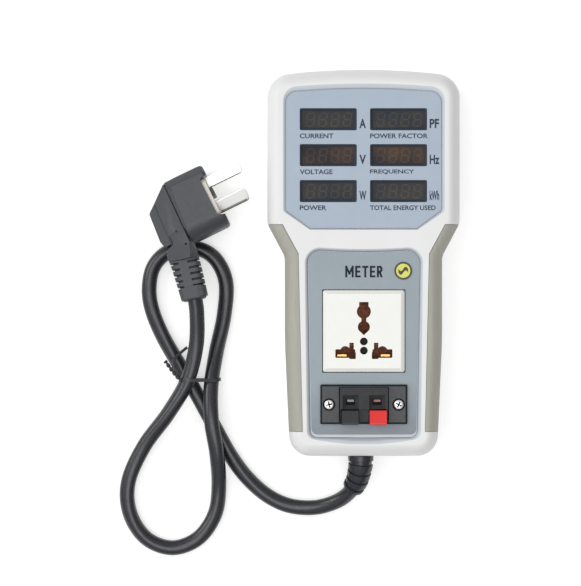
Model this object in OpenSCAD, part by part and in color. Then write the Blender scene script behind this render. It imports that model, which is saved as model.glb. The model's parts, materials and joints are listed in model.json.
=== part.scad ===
// Hand-held power meter with six LED read-outs, a universal socket, a push
// terminal and a short mains cord that ends in a right-angle three-pin plug.
// The meter lies on its back: +Z leaves its front face, +Y points to its displays.
// The origin is the centre of the meter's own footprint, under its feet.

/* [Case] */
// Length of the meter
case_l = 198; // [194:0.5:202]
// Width across the display head
head_w = 99; // [97:0.5:101]
// Width across the handle
handle_w = 81; // [80:0.5:82]
// Width across the lower end
lower_w = 75.8; // [75:0.2:77]
// Height from the resting surface to the front face
face_z = 46; // [46:0.5:48]
// Height of the joint between front and rear shells
split_z = 20; // [19:0.5:21]
// Thickness of the shell's face and floor
wall = 2.5; // [2:0.1:3]
// Rounding of the front edge, across the face
edge_w = 6.5; // [5.5:0.1:7]
// Rounding of the front edge, down the side
edge_h = 10; // [8:0.5:12]
// Rounding of the rear edge
rear_edge = 4; // [3:0.5:5]
// Thickness of the rubber side grips
grip_t = 2; // [1.6:0.1:2.2]

/* [Display head] */
// Width of the display overlay
overlay_w = 79.6; // [78:0.2:80]
// Thickness of the display overlay
overlay_t = 0.5; // [0.3:0.1:0.6]
// Depth of the recess that holds the overlay
overlay_sink = 1; // [0.8:0.1:1.2]
// Width of one display window
window_w = 29.2; // [28:0.2:30]
// Height of one display window
window_h = 11.3; // [11:0.1:12]
// Distance between the two window columns
window_dx = 36; // [35:0.5:37]
// Distance between window rows
window_dy = 18.4; // [18:0.1:18.8]

/* [Lower panel] */
// Width of the lower panel at its top
panel_w = 57.3; // [56:0.1:58]
// Width of the lower panel at its bottom
panel_low_w = 53.6; // [53:0.1:55]
// Thickness of the lower panel
panel_t = 0.4; // [0.3:0.1:0.6]
// Depth of the recess that holds the lower panel
panel_sink = 1.4; // [1.2:0.1:1.6]
// Diameter of the round badge
badge_d = 9; // [8:0.1:9.4]

/* [Socket] */
// Side of the square socket face
socket_w = 41.8; // [41:0.1:42.5]
// Height of the socket face above the front face
socket_rise = 0.6; // [0.4:0.1:1]
// Distance of the live and neutral openings from the middle
pole_x = 9.5; // [9.3:0.1:9.7]
// Width of a live or neutral opening
pole_w = 10.2; // [10:0.1:10.6]
// Height of a live or neutral opening
pole_h = 4.4; // [4.3:0.1:4.6]

/* [Push terminal] */
// Width of the terminal's flange
terminal_w = 44.5; // [44:0.1:46]
// Height of the terminal's flange
terminal_h = 20.2; // [20:0.1:21]
// Width of the raised block
block_w = 25.2; // [25:0.1:26]
// Width of one lever
lever_w = 9.2; // [8.8:0.1:9.4]
// Distance of each lever from the middle
lever_x = 7.2; // [7:0.1:7.4]
// Radial clearance of a lever's pivot pins
pivot_fit = 0.06; // [0.03:0.01:0.09]

/* [Cord and plug] */
// Diameter of the mains cord
cord_d = 7.8; // [7.4:0.1:8]
// Thickness of the plug's body
plug_t = 26; // [25:0.5:26]
// Width of a plug blade
blade_w = 6.35; // [6.2:0.05:6.4]
// Thickness of a plug blade
blade_t = 1.6; // [1.5:0.05:1.7]
// Length of the live and neutral blades
blade_l = 17; // [16:0.5:18.5]
// Length of the earth blade
earth_blade_l = 20; // [19:0.5:21.5]

/* [Hidden] */

$fn = 48;
gap = 0.1;              // clearance between parts that are assembled together
over = 1;               // how far a cutter runs past the face that it cuts

// Case outline: the right half's corners, from the lower end to the top,
// each [x, y, corner radius, arc segments]. The left half mirrors them.
waist_y = 3.6;
shoulder_y = 20.6;
arch_r = 350;
arch_half = 36;
arch_tilt = asin(arch_half / arch_r);
arch_top = case_l / 2 + arch_r / cos(arch_tilt) - arch_r;
CASE_RIGHT = [
    [lower_w / 2, -case_l / 2, 11, 6],
    [handle_w / 2, -40, 300, 2],
    [handle_w / 2, waist_y, 9, 4],
    [head_w / 2, shoulder_y, 9, 4],
    [head_w / 2, arch_top - head_w / 2 * tan(arch_tilt), 12.5, 8],
];
CASE = concat(CASE_RIGHT, [[0, arch_top, arch_r, 8]], mirrored(CASE_RIGHT));

// Insides of the case
foot_z = 1.5;           // height of the rear shell's floor above the surface
side_inset = grip_t + wall;
grip_core_z = face_z - 4.5;
roof_z = face_z - 3.5;  // inside of the front face
low_roof_z = grip_core_z - wall;
high_inset = 9.4;       // inset of the upper cavity, clear of the grips
front_steps = 5;        // rings in the rounded front edge
rear_steps = 3;         // rings in the rounded rear edge
fit = 0.15;             // clearance of a sheet in its recess

// Screws and the posts that take them
boss_r = 3.6;           // posts of the case screws
case_screw_r = 1.4;
case_head_r = 2.8;
case_head_l = 2.1;
counterbore_l = 5.5;
case_screw_end = 9;     // how far a case screw reaches past the joint
post_r = 3;             // posts of the main board
display_post_r = 2.4;
small_screw_r = 1;
small_head_r = 2.2;
small_head_l = 1.6;
board_hole_r = 1.2;
pilot = 0.05;           // extra radius of a screw's pilot hole
pilot_l = 6;
CASE_BOSS = [[41, 80], [-41, 80], [29, -87], [-29, -87]];

// Feet and label on the rear shell
FEET = [[30, 84], [-30, 84], [24, -80], [-24, -80]];
foot_r = 5;
foot_sink = 0.7;
label_t = 0.3;
LABEL_RIGHT = [[22, 20, 2, 3], [22, 60, 2, 3]];
LABEL = concat(LABEL_RIGHT, mirrored(LABEL_RIGHT));

// Side grips, seen from above: the inner edge from the head to the lower end
GRIP_EDGE = [[41.7, 19.9], [33.5, 4.8], [33, -18.8], [31.4, -86.2]];
grip_out = 60;

// Display overlay corners, right half, bottom to top
overlay_y = [17.8, 27.2, 88.6, 89.9];
OVERLAY_RIGHT = [
    [27.4, overlay_y[0], 1, 3],
    [overlay_w / 2, overlay_y[1], 2, 3],
    [overlay_w / 2, overlay_y[2], 6, 6],
];
OVERLAY = concat(OVERLAY_RIGHT, [[0, overlay_y[3] + 1.6, 420, 6]], mirrored(OVERLAY_RIGHT));
overlay_z = face_z - overlay_sink;
window_y = 55.4;        // middle of the six windows
window_x = -0.2 - window_dx / 2;
lens_size = [72, 54];
lens_t = 1.2;
lens_sink = 0.6;        // how far the panes stay below the overlay

// Lower panel corners, right half, bottom to top
PANEL_RIGHT = [
    [panel_low_w / 2, -87.7, 3, 4],
    [panel_w / 2, 6.8, 6.5, 6],
];
PANEL = concat(PANEL_RIGHT, [[0, 4.9, 300, 6]], mirrored(PANEL_RIGHT));
panel_lip = 1.7;        // width of the recess wall around the panel
panel_z = face_z - panel_sink;
badge_at = [20.2, -3.8];
badge_t = 0.5;

// Socket, centred at socket_y
socket_y = -34.7;
socket_top = face_z + socket_rise;
socket_body_w = 38;
socket_floor_z = 21;
pin_floor_z = 25;
earth_y = -24.7;        // large round of the earth opening
earth_r = 3.6;
drop_y = -32.6;         // lower round of the earth opening
drop_r = 3.1;
pole_y = -46.2;
pole_lobe_r = 2.6;
upright_x = 6.3;        // upright slot of a live or neutral opening
upright = [2.3, 8];
lobe = [3.4, 3.6];
earth_slot_w = 4.8;
earth_slot_y = -19.8;
earth_neck_w = 2.6;
DROP_TIP = [[-2.4, -1.9], [2.4, -1.9], [0, -4.2]];
small_hole_y = [-40, -44.7];
small_hole_r = 2;
small_hole_l = 4;
socket_bevel = 2.3;
skin = 0.01;            // thin slice that a bevel hull starts from
plate_t = 0.8;          // sheet of the contacts
pole_cell = [13, 9.6];
pole_cell_x = 9.4;
pole_cell_y = pole_y + 0.4;
earth_cell = [9.6, 19];
earth_cell_y = -28.4;
tail_w = 4;             // slot for a contact's tail in the socket's floor
tail_h = 2;
pole_tail_y = pole_y - 3;
earth_tail_y = -20;
cell_gap = 0.4;         // room between a contact and its cell, both sides together
contact_screw = [1.4, 3.4];
pole_screw_y = pole_tail_y - 1.9;
earth_screw_y = earth_tail_y + 2.4;

// Push terminal, centred at terminal_y
terminal_y = -72.2;
terminal_z = panel_z + panel_t;
flange_t = 2;
terminal_rise = 2.4;    // the block above its flange
block_h = 17.6;
block_y = terminal_y - 0.2;
block_top = terminal_z + flange_t + terminal_rise;
terminal_floor_z = 33;
entry_x = 6.8;
entry_y = -71.3;
entry = [4, 2];
funnel = [7.2, 6];
funnel_l = 2.5;
strip_slot = [3.2, 0.6];
pivot_y = -76.8;
pivot_z = terminal_z + 1.5;
pivot_r = 1;
pivot_end = 1.2;        // length of each pivot pin past the lever's side
lever_gap = 0.3;
// Side outline of a lever in [y, z], measured from its pivot
LEVER = [[1.6, 0.7], [1.6, 3.1], [-5.2, 5.5], [-5.7, 4.9], [-5.4, 2.1], [-1, -0.3],
    [-1.2, -4.4], [0.6, -4.4], [1, -0.3]];
// Side outline of a lever's leaf spring in [y, z], measured from its pivot
SPRING = [[-3.9, -5.4], [-1.4, -5.4], [-1.4, -5.1], [-3.5, -5.1], [-3.2, 0.8], [-3.5, 0.9]];
spring_w = 4;
lever_well = [6.2, 10];
screw_x = 17.8;
screw_y = -72.3;
screw_r = 1.5;
screw_head_r = 2.6;
screw_head_l = 1.4;
screw_cross = [3, 0.6];

// Boards and what they carry
board_t = 1.6;
module_size = [30, 14, 7.2];
module_z = roof_z - 1.5 - module_size.z;
module_pins = [for (x = [-12.7 : 5.08 : 12.7], y = [-5, 5]) [x, y]];
module_pin_r = 0.3;
module_pin_l = 3;
display_board_size = [72, 72];
display_board_z = module_z - board_t;
display_post = [32, 32]; // half spacing of the display board's screws
driver_size = [7.5, 12, 1.8];
main_board_size = [72, 66];
main_board_y = 55;
main_board_z = 12;
board_top = main_board_z + board_t;
main_post = [32, 29];   // half spacing of the main board's screws
ribbon_size = [16, 1];
ribbon_y = 24.5;
core_at = [-16, 68];
core_size = [28, 25, 14];
coil_size = [18, 20, 16.5];
meter_chip_at = [10, 40];
meter_chip_size = [10, 13, 2.2];
shunt_at = [25, 34];
shunt_size = [16, 4, 9];
shunt_span = [11, 6, 7];
CAPACITORS = [[13, 80], [24, 80], [18, 66]];
capacitor_r = 4.5;
capacitor_l = 12;
fuse_at = [4, 60];
fuse_r = 2.5;
fuse_l = 20;
fuse_cap = [3.1, 6];

// Where the cord leaves the case
exit_x = -1.1;
exit_z = split_z;
collar_r = 5;           // the strain relief's neck through the case wall
flange_size = [16, 2, 14];
relief_r = 6.7;
relief_tip_r = 6;
clamp_y = -86;
clamp_dx = 9.5;
clamp_size = [26, 7, 6];
clamp_post_r = 3.2;
cradle = [8, 6];
inner_l = 18;           // length of cord inside the case

// Routes of the wires inside the case, mirrored left and right where they are a pair
wire_r = 1.3;
thin_wire_r = 1;
LIVE_WIRE = [[0.6, -79.4, 19], [6, -68, 11], [14, -50, 8], [20, -20, 8], [22, 8, 11],
    [22, 20, 15.4], [22, 30, 15.1]];
NEUTRAL_WIRE = [[-2.8, -79.4, 19], [-8, -68, 11], [-16, -50, 8], [-22, -20, 8], [-22, 8, 11],
    [-22, 20, 15.4], [-22, 30, 15.1]];
EARTH_WIRE = [[-1.1, -79.4, 21.8], [-1, -72, 16], [0, -60, 11], [0, -40, 9], [0, -23, 11.5],
    [0, -20.3, 14], [0, -20, 16.8]];
SOCKET_WIRE = [[9.4, -49.2, 16.8], [9.4, -49, 14], [9.4, -46, 12], [9.4, -10, 11],
    [9.6, 8, 11.6], [9.6, 20, 15.4], [9.6, 30, 15.1]];
TERMINAL_WIRE = [[8.8, -53.5, 19], [8, -60, 18.5], [7.2, -66, 21], [6.8, -69.5, 25],
    [6.8, -70.6, 28.8]];

// Route of the cord's centre line, from the case to the plug
CORD = [
    [-1.1, -99.1, 20], [-1.3, -105, 19.4], [-3, -112.5, 15.9], [-6.5, -118.5, 11],
    [-13.5, -123.8, 7], [-25, -127.2, 4.4], [-38.5, -126.3, 4], [-50, -121, 4],
    [-60, -112, 4], [-68.5, -100.5, 4], [-77.5, -84.5, 4], [-87, -67.5, 4],
    [-96.5, -51.5, 4], [-104.5, -37, 4], [-109.8, -24, 4], [-111.5, -13, 4],
    [-109.5, -2, 4], [-103, 5.5, 4], [-94, 8, 4], [-84, 7.3, 4],
    [-76, 1.3, 4], [-71.2, -10.5, 4], [-72.3, -28, 4.2], [-76.3, -46, 5.6],
    [-79.1, -64, 9.8], [-78.6, -82, 12.8], [-75.8, -99, 11.2], [-75, -116, 5.4],
    [-77.3, -131, 4], [-86, -143.5, 4], [-99.5, -148.5, 4], [-113, -143.5, 4],
    [-121.3, -130.5, 4], [-122.2, -114, 4.2], [-114, -95, 6], [-101, -77.5, 9.8],
    [-91.2, -61, 12.4], [-86.7, -43, 13.6], [-86.3, -27, 16.4], [-87.2, -18, 17.8],
];
relief_points = 4;      // route points that the strain relief follows
cord_start = 2;         // first route point of the cord's own tube

// Plug: the middle of its pin face, its heading and the tilt that lifts its neck
plug_at = [-77.6, 32.9, 14.5];
plug_turn = 26;
plug_tilt = -4.3;
// Side outline of the plug in [along the pins, across them]
PLUG_FRONT = [[0, -15.6], [0, 18.6], [-19.6, 18.4], [-20.5, -15.2]];
PLUG_BACK = [[-18, 18.2], [-28.5, 11.3], [-33.3, 7.6], [-34.6, -9.5], [-18, -15]];
plug_back_t = 16;
plug_round = 2;
// Neck of the plug, each [along, across, radius], and the lean of its rings
NECK = [[-24, -8, 8], [-26.3, -19, 7.4], [-30.3, -38.5, 6.2], [-31.1, -42, 6.2]];
neck_lean = 11;
neck_ring_l = 0.5;
pins_y = -0.4;
pin_pole = [6.86, 3.96];
pin_pole_turn = 30;
pin_earth = 10.3;
carrier_t = 0.6;
carrier_y = pins_y + 1.5;
carrier_half = 6;
carrier_r = 9.5;

// Twist tie round the three strands, and the strand middles that it encloses
tie_y = -60.4;
tie_w = 1.8;
tie_t = 0.9;
TIE_ROUND = [[-91.1, 4], [-91.1, 12.4], [-78.5, 9]];
tie_slack = 0.6;
TIE_ROOM = [[-150, 0.05], [100, 30]]; // the space above the surface, from its corner
TIE_TAIL = [[-94, -60.4, 16.2], [-98, -56.5, 16.2], [-102.8, -50.6, 14.5]];
tie_tail_r = 0.9;

function unit(v) = v / norm(v);
function mirrored(c) = [for (i = [len(c) - 1 : -1 : 0]) [-c[i][0], c[i][1], c[i][2], c[i][3]]];
function inward(a, b) = unit([a.y - b.y, b.x - a.x]);
function flat(c) = [for (p = c) [p[0], p[1]]];
function shifted(a, p, b, inset) =
    let (m = inward(a, p), n = inward(p, b)) p + inset * (m + n) / (1 + m * n);
function turns_left(a, p, b) = (p.x - a.x) * (b.y - p.y) - (p.y - a.y) * (b.x - p.x) > 0;
function arc_at(a, p, b, r, steps) =
    let (
        u = unit(a - p),
        v = unit(b - p),
        half = acos(u * v) / 2,
        mid = p + unit(u + v) * r / sin(half),
        from = p + u * r / tan(half) - mid,
        to = p + v * r / tan(half) - mid,
        start = atan2(from.y, from.x),
        raw = atan2(to.y, to.x) - start,
        sweep = raw > 180 ? raw - 360 : raw < -180 ? raw + 360 : raw
    )
    [for (i = [0 : steps]) mid + r * [cos(start + sweep * i / steps), sin(start + sweep * i / steps)]];

// A closed outline with rounded corners, moved inwards by inset
function outline(c, inset = 0) =
    let (
        n = len(c),
        p = flat(c),
        q = [for (i = [0 : n - 1]) shifted(p[(i + n - 1) % n], p[i], p[(i + 1) % n], inset)]
    )
    [for (i = [0 : n - 1])
        let (
            a = q[(i + n - 1) % n],
            b = q[(i + 1) % n],
            r = turns_left(a, q[i], b) ? max(c[i][2] - inset, 0.4) : c[i][2] + inset
        )
        each arc_at(a, q[i], b, r, c[i][3])];

// A flat cap over a mirror-symmetric outline of n points that starts at index first
function cap(n, first, up) = [for (i = [0 : floor(n / 2) - 1])
    let (q = i + 1 == n - 2 - i ? [i, i + 1, n - 1 - i] : [i, i + 1, n - 2 - i, n - 1 - i])
    [for (j = [0 : len(q) - 1]) first + q[up ? len(q) - 1 - j : j]]];

// A solid through stacked outlines, rings being [height, inset] from the bottom up
module loft(c, rings) {
    n = len(outline(c));
    points = [for (r = rings, p = outline(c, r[1])) [p.x, p.y, r[0]]];
    sides = [for (k = [0 : len(rings) - 2], i = [0 : n - 1])
        let (a = k * n + i, b = k * n + (i + 1) % n) each [[a, a + n, b + n], [a, b + n, b]]];
    polyhedron(points, concat(cap(n, 0, false), sides, cap(n, (len(rings) - 1) * n, true)));
}

// A tube along a route, with one radius for each point
function tangent(route, i) = unit(route[min(i + 1, len(route) - 1)] - route[max(i - 1, 0)]);
function ring_at(p, along, up, r, sides) =
    let (s = unit(cross(along, up)), t = cross(along, s))
    [for (j = [0 : sides - 1]) p + r * (cos(360 * j / sides) * s + sin(360 * j / sides) * t)];
module tube(route, radii, sides, up = [0, 0, 1]) {
    n = len(route);
    points = [for (i = [0 : n - 1]) each ring_at(route[i], tangent(route, i), up, radii[i], sides)];
    skin = [for (k = [0 : n - 2], j = [0 : sides - 1])
        let (a = k * sides + j, b = k * sides + (j + 1) % sides)
        each [[a, a + sides, b + sides], [a, b + sides, b]]];
    last = (n - 1) * sides;
    polyhedron(points, concat([[for (j = [0 : sides - 1]) j]], skin,
        [[for (j = [sides - 1 : -1 : 0]) last + j]]));
}
module wire(route, r = wire_r) tube(route, [for (p = route) r], 8, [1, 0, 0]);
function flipped(route) = [for (p = route) [-p.x, p.y, p.z]];

module block_at(x, y, z0, z1, w, h) translate([x - w / 2, y - h / 2, z0]) cube([w, h, z1 - z0]);
module rod_at(p, z0, z1, r) translate([p.x, p.y, z0]) cylinder(h = z1 - z0, r = r);
module prism(c, inset, z0, z1) translate([0, 0, z0]) linear_extrude(z1 - z0) polygon(outline(c, inset));
module four(p) for (x = [-p.x, p.x], y = [-p.y, p.y]) translate([x, y, 0]) children();
module at_windows() for (i = [0, 1], j = [-1 : 1])
    translate([window_x + i * window_dx, window_y + j * window_dy, 0]) children();

// ---- Case ----
front_rings = concat([[split_z, 0]], [for (k = [0 : front_steps])
    let (t = 90 * k / front_steps) [face_z - edge_h + edge_h * sin(t), edge_w * (1 - cos(t))]]);
rear_rings = concat([for (k = [0 : rear_steps])
    let (t = 90 * k / rear_steps) [foot_z + rear_edge * (1 - cos(t)), rear_edge * (1 - sin(t))]],
    [[split_z, 0]]);

module grip_zone(side) translate([0, 0, split_z - over]) linear_extrude(face_z)
    polygon([for (p = concat([[grip_out, GRIP_EDGE[0].y]], GRIP_EDGE, [[grip_out, GRIP_EDGE[3].y]]))
        [side * p.x, p.y]]);

module display_openings() {
    prism(OVERLAY, -fit, overlay_z, face_z + over);
    at_windows() block_at(0, 0, roof_z - over, face_z, window_w, window_h);
}
module panel_openings() {
    prism(PANEL, -panel_lip, panel_z, face_z + over);
    block_at(0, socket_y, roof_z - over, face_z, socket_body_w + gap, socket_body_w + gap);
    block_at(0, terminal_y, roof_z - over, face_z, block_w + 2 * gap, block_h + 2 * gap);
    for (x = [-screw_x, screw_x]) rod_at([x, screw_y], roof_z - over, face_z, screw_r + gap);
}
module cord_opening() translate([exit_x, -case_l / 2 - over, exit_z]) rotate([-90, 0, 0])
    cylinder(h = side_inset + 2 * over, r = collar_r + gap);

module front_shell() color([0.93, 0.93, 0.91]) difference() {
    union() {
        difference() {
            loft(CASE, front_rings);
            grip_zone(1);
            grip_zone(-1);
        }
        prism(CASE, grip_t, split_z, grip_core_z);
    }
    difference() {
        union() {
            prism(CASE, side_inset, split_z - over, low_roof_z);
            prism(CASE, high_inset, split_z - over, roof_z);
        }
        for (p = CASE_BOSS) rod_at(p, split_z, face_z, boss_r);
        translate([0, window_y, 0]) four(display_post)
            rod_at([0, 0], display_board_z + board_t, face_z, display_post_r);
    }
    display_openings();
    panel_openings();
    cord_opening();
    for (p = CASE_BOSS)
        rod_at(p, split_z - over, split_z + case_screw_end + 3, case_screw_r + pilot);
    translate([0, window_y, 0]) four(display_post)
        rod_at([0, 0], display_board_z, roof_z - 2, small_screw_r + 0.1 + pilot);
}

module rear_shell() color([0.9, 0.9, 0.88]) difference() {
    loft(CASE, rear_rings);
    difference() {
        prism(CASE, side_inset, foot_z + wall, split_z + over);
        for (p = CASE_BOSS) rod_at(p, foot_z, split_z, boss_r);
        translate([0, main_board_y, 0]) four(main_post) rod_at([0, 0], foot_z, main_board_z, post_r);
        for (x = [-clamp_dx, clamp_dx]) rod_at([exit_x + x, clamp_y], foot_z, exit_z, clamp_post_r);
        block_at(exit_x, clamp_y, foot_z, exit_z - cord_d / 2, cradle.x, cradle.y);
    }
    for (p = CASE_BOSS) {
        rod_at(p, foot_z - over, foot_z + counterbore_l, case_head_r + 2 * gap);
        rod_at(p, foot_z, split_z + over, case_screw_r + pilot);
    }
    for (p = FEET) rod_at(p, foot_z - over, foot_z + foot_sink, foot_r + gap);
    translate([0, main_board_y, 0]) four(main_post)
        rod_at([0, 0], main_board_z - pilot_l, main_board_z + over, small_screw_r + pilot);
    for (x = [-clamp_dx, clamp_dx])
        rod_at([exit_x + x, clamp_y], exit_z - pilot_l - 2, exit_z + over, small_screw_r + pilot);
    prism(LABEL, -gap, foot_z - over, foot_z + label_t);
    cord_opening();
}

module side_grip(side) color([0.67, 0.66, 0.61]) difference() {
    intersection() {
        loft(CASE, front_rings);
        grip_zone(side);
    }
    prism(CASE, grip_t, split_z - over, grip_core_z);
}
module left_side_grip() side_grip(-1);
module right_side_grip() side_grip(1);

module case_screws() color("silver") for (p = CASE_BOSS) {
    rod_at(p, foot_z + counterbore_l - case_head_l, foot_z + counterbore_l, case_head_r);
    rod_at(p, foot_z + counterbore_l, split_z + case_screw_end, case_screw_r);
}
module rear_feet() color([0.2, 0.2, 0.2]) for (p = FEET) rod_at(p, 0, foot_z + foot_sink, foot_r);
module rear_label() color([0.75, 0.76, 0.78]) prism(LABEL, 0, foot_z, foot_z + label_t);

// ---- Display head ----
module display_overlay() color([0.67, 0.73, 0.81]) difference() {
    prism(OVERLAY, 0, overlay_z, overlay_z + overlay_t);
    at_windows() block_at(0, 0, overlay_z - over, face_z, window_w + 4 * fit, window_h + 4 * fit);
}
module window_lens() color([0.12, 0.08, 0.08]) {
    block_at(window_x + window_dx / 2, window_y, roof_z - lens_t, roof_z, lens_size.x, lens_size.y);
    at_windows()
        block_at(0, 0, roof_z - lens_t / 2, overlay_z - lens_sink, window_w - 2 * gap, window_h - 2 * gap);
}
module led_module(column, row) color([0.13, 0.13, 0.14])
    translate([window_x + column * window_dx, window_y + row * window_dy, 0]) {
        block_at(0, 0, module_z, module_z + module_size.z, module_size.x, module_size.y);
        for (p = module_pins) rod_at(p, module_z - module_pin_l, module_z, module_pin_r);
    }
module current_display() led_module(0, 1);
module voltage_display() led_module(0, 0);
module power_display() led_module(0, -1);
module power_factor_display() led_module(1, 1);
module frequency_display() led_module(1, 0);
module energy_display() led_module(1, -1);

module display_board() color([0.1, 0.4, 0.22]) difference() {
    block_at(0, window_y, display_board_z, display_board_z + board_t,
        display_board_size.x, display_board_size.y);
    translate([0, window_y, 0]) four(display_post)
        rod_at([0, 0], display_board_z - over, face_z, board_hole_r);
    at_windows() for (p = module_pins) rod_at(p, display_board_z - over, face_z, module_pin_r + pilot);
}
module display_driver_chips() color([0.15, 0.15, 0.16]) for (j = [-1 : 1])
    block_at(0, window_y + j * window_dy, display_board_z - driver_size.z, display_board_z,
        driver_size.x, driver_size.y);
module display_board_screws() color("silver") translate([0, window_y, 0])
    four(display_post) {
        rod_at([0, 0], display_board_z - small_head_l, display_board_z, small_head_r);
        rod_at([0, 0], display_board_z, roof_z - 3, small_screw_r + 0.1);
    }
module board_ribbon() color([0.6, 0.6, 0.62])
    block_at(0, ribbon_y, board_top, display_board_z, ribbon_size.x, ribbon_size.y);

// ---- Main board ----
module main_board() color([0.1, 0.4, 0.22]) difference() {
    block_at(0, main_board_y, main_board_z, main_board_z + board_t, main_board_size.x, main_board_size.y);
    translate([0, main_board_y, 0]) four(main_post) rod_at([0, 0], 0, face_z, board_hole_r);
}
module main_board_screws() color("silver") translate([0, main_board_y, 0]) four(main_post) {
    rod_at([0, 0], board_top, board_top + small_head_l, small_head_r);
    rod_at([0, 0], main_board_z - pilot_l + over, board_top, small_screw_r);
}
module supply_transformer() color([0.35, 0.33, 0.3]) {
    block_at(core_at.x, core_at.y, board_top + 1, board_top + 1 + core_size.z, core_size.x, core_size.y);
    block_at(core_at.x, core_at.y, board_top, board_top + coil_size.z, coil_size.x, coil_size.y);
}
module metering_chip() color([0.15, 0.15, 0.16]) block_at(meter_chip_at.x, meter_chip_at.y,
    board_top, board_top + meter_chip_size.z, meter_chip_size.x, meter_chip_size.y);
module current_shunt() color([0.75, 0.5, 0.35]) difference() {
    block_at(shunt_at.x, shunt_at.y, board_top, board_top + shunt_size.z, shunt_size.x, shunt_size.y);
    block_at(shunt_at.x, shunt_at.y, board_top - over, board_top + shunt_span.z, shunt_span.x, shunt_span.y);
}
module filter_capacitors() color([0.18, 0.2, 0.4]) for (p = CAPACITORS)
    rod_at(p, board_top, board_top + capacitor_l, capacitor_r);
module fuse() color([0.8, 0.8, 0.78]) translate([fuse_at.x, fuse_at.y, board_top + fuse_cap[0] + gap])
    rotate([0, 90, 90]) {
        translate([0, 0, -fuse_l / 2]) cylinder(h = fuse_l, r = fuse_r);
        for (z = [-fuse_l / 2, fuse_l / 2 - fuse_cap[1]])
            translate([0, 0, z]) cylinder(h = fuse_cap[1], r = fuse_cap[0]);
    }

// ---- Lower panel ----
module lower_panel() color([0.6, 0.64, 0.69]) difference() {
    prism(PANEL, 0, panel_z, panel_z + panel_t);
    block_at(0, socket_y, panel_z - over, face_z, socket_w + 0.5, socket_w + 0.5);
    block_at(0, terminal_y, panel_z - over, face_z, block_w + 2 * gap, block_h + 2 * gap);
    for (x = [-screw_x, screw_x]) rod_at([x, screw_y], panel_z - over, face_z, screw_r + gap);
}
module panel_badge() color([0.84, 0.82, 0.35])
    rod_at(badge_at, panel_z + panel_t, panel_z + panel_t + badge_t, badge_d / 2);

// ---- Socket ----
module pole_opening(side, z0, z1) {
    block_at(side * pole_x, pole_y, z0, z1, pole_w, pole_h);
    rod_at([side * pole_x, pole_y + 1.2], z0, z1, pole_lobe_r);
    block_at(side * upright_x, pole_y + 1.5, z0, z1, upright.x, upright.y);
    block_at(side * (upright_x - 0.5), pole_y - 1, z0, z1, lobe.x, lobe.y);
}
module earth_opening(z0, z1) {
    block_at(0, (earth_y + earth_slot_y) / 2, z0, z1, earth_slot_w, earth_slot_y - earth_y);
    rod_at([0, earth_y], z0, z1, earth_r);
    block_at(0, (earth_y + drop_y) / 2, z0, z1, earth_neck_w, earth_y - drop_y);
    rod_at([0, drop_y], z0, z1, drop_r);
    translate([0, drop_y, z0]) linear_extrude(z1 - z0) polygon(DROP_TIP);
}
module socket_face() color([0.96, 0.95, 0.92]) difference() {
    union() {
        block_at(0, socket_y, panel_z, socket_top - 1, socket_w, socket_w);
        hull() {
            block_at(0, socket_y, socket_top - 1 - skin, socket_top - 1, socket_w, socket_w);
            block_at(0, socket_y, socket_top - skin, socket_top,
                socket_w - 2 * socket_bevel, socket_w - 2 * socket_bevel);
        }
        block_at(0, socket_y, roof_z - 1, panel_z, socket_body_w - gap, socket_body_w - gap);
    }
    for (s = [-1, 1]) pole_opening(s, roof_z - 2, socket_top + over);
    earth_opening(roof_z - 2, socket_top + over);
    for (y = small_hole_y) rod_at([0, y], socket_top - small_hole_l, socket_top + over, small_hole_r);
}
module socket_housing() color([0.3, 0.2, 0.16]) difference() {
    block_at(0, socket_y, socket_floor_z, roof_z - 1, socket_body_w - gap, socket_body_w - gap);
    for (s = [-1, 1]) {
        block_at(s * pole_cell_x, pole_cell_y, pin_floor_z - 1, roof_z, pole_cell.x, pole_cell.y);
        block_at(s * pole_cell_x, pole_tail_y, socket_floor_z - over, pin_floor_z, tail_w, tail_h);
    }
    block_at(0, earth_cell_y, pin_floor_z - 1, roof_z, earth_cell.x, earth_cell.y);
    block_at(0, earth_tail_y, socket_floor_z - over, pin_floor_z, tail_w, tail_h);
}
module contact_tail(x, y)
    block_at(x, y, socket_floor_z - 4, pin_floor_z - 1, tail_w - cell_gap, plate_t);
module pole_contact(side) color([0.78, 0.55, 0.3]) {
    top = roof_z - 2;
    block_at(side * pole_cell_x, pole_cell_y, pin_floor_z - 1, pin_floor_z,
        pole_cell.x - cell_gap, pole_cell.y - cell_gap);
    block_at(side * (pole_cell_x + 5.8), pole_cell_y, pin_floor_z, top, plate_t, pole_cell.y - 2.6);
    for (y = [pole_cell_y - 4.1, pole_cell_y + 4.1])
        block_at(side * pole_cell_x, y, pin_floor_z, top, pole_cell.x - 4, plate_t);
    contact_tail(side * pole_cell_x, pole_tail_y);
}
module socket_live_contact() pole_contact(1);
module socket_neutral_contact() pole_contact(-1);
module socket_earth_contact() color([0.78, 0.55, 0.3]) {
    block_at(0, earth_cell_y, pin_floor_z - 1, pin_floor_z, earth_cell.x - cell_gap, earth_cell.y - cell_gap);
    for (s = [-1, 1])
        block_at(s * 4.3, earth_cell_y, pin_floor_z, roof_z - 2, plate_t, earth_cell.y - 3);
    contact_tail(0, earth_tail_y);
}
module socket_terminal_screws() color("silver")
    for (p = [[pole_cell_x, pole_screw_y], [-pole_cell_x, pole_screw_y], [0, earth_screw_y]])
        rod_at(p, socket_floor_z - contact_screw[1], socket_floor_z, contact_screw[0]);

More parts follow.
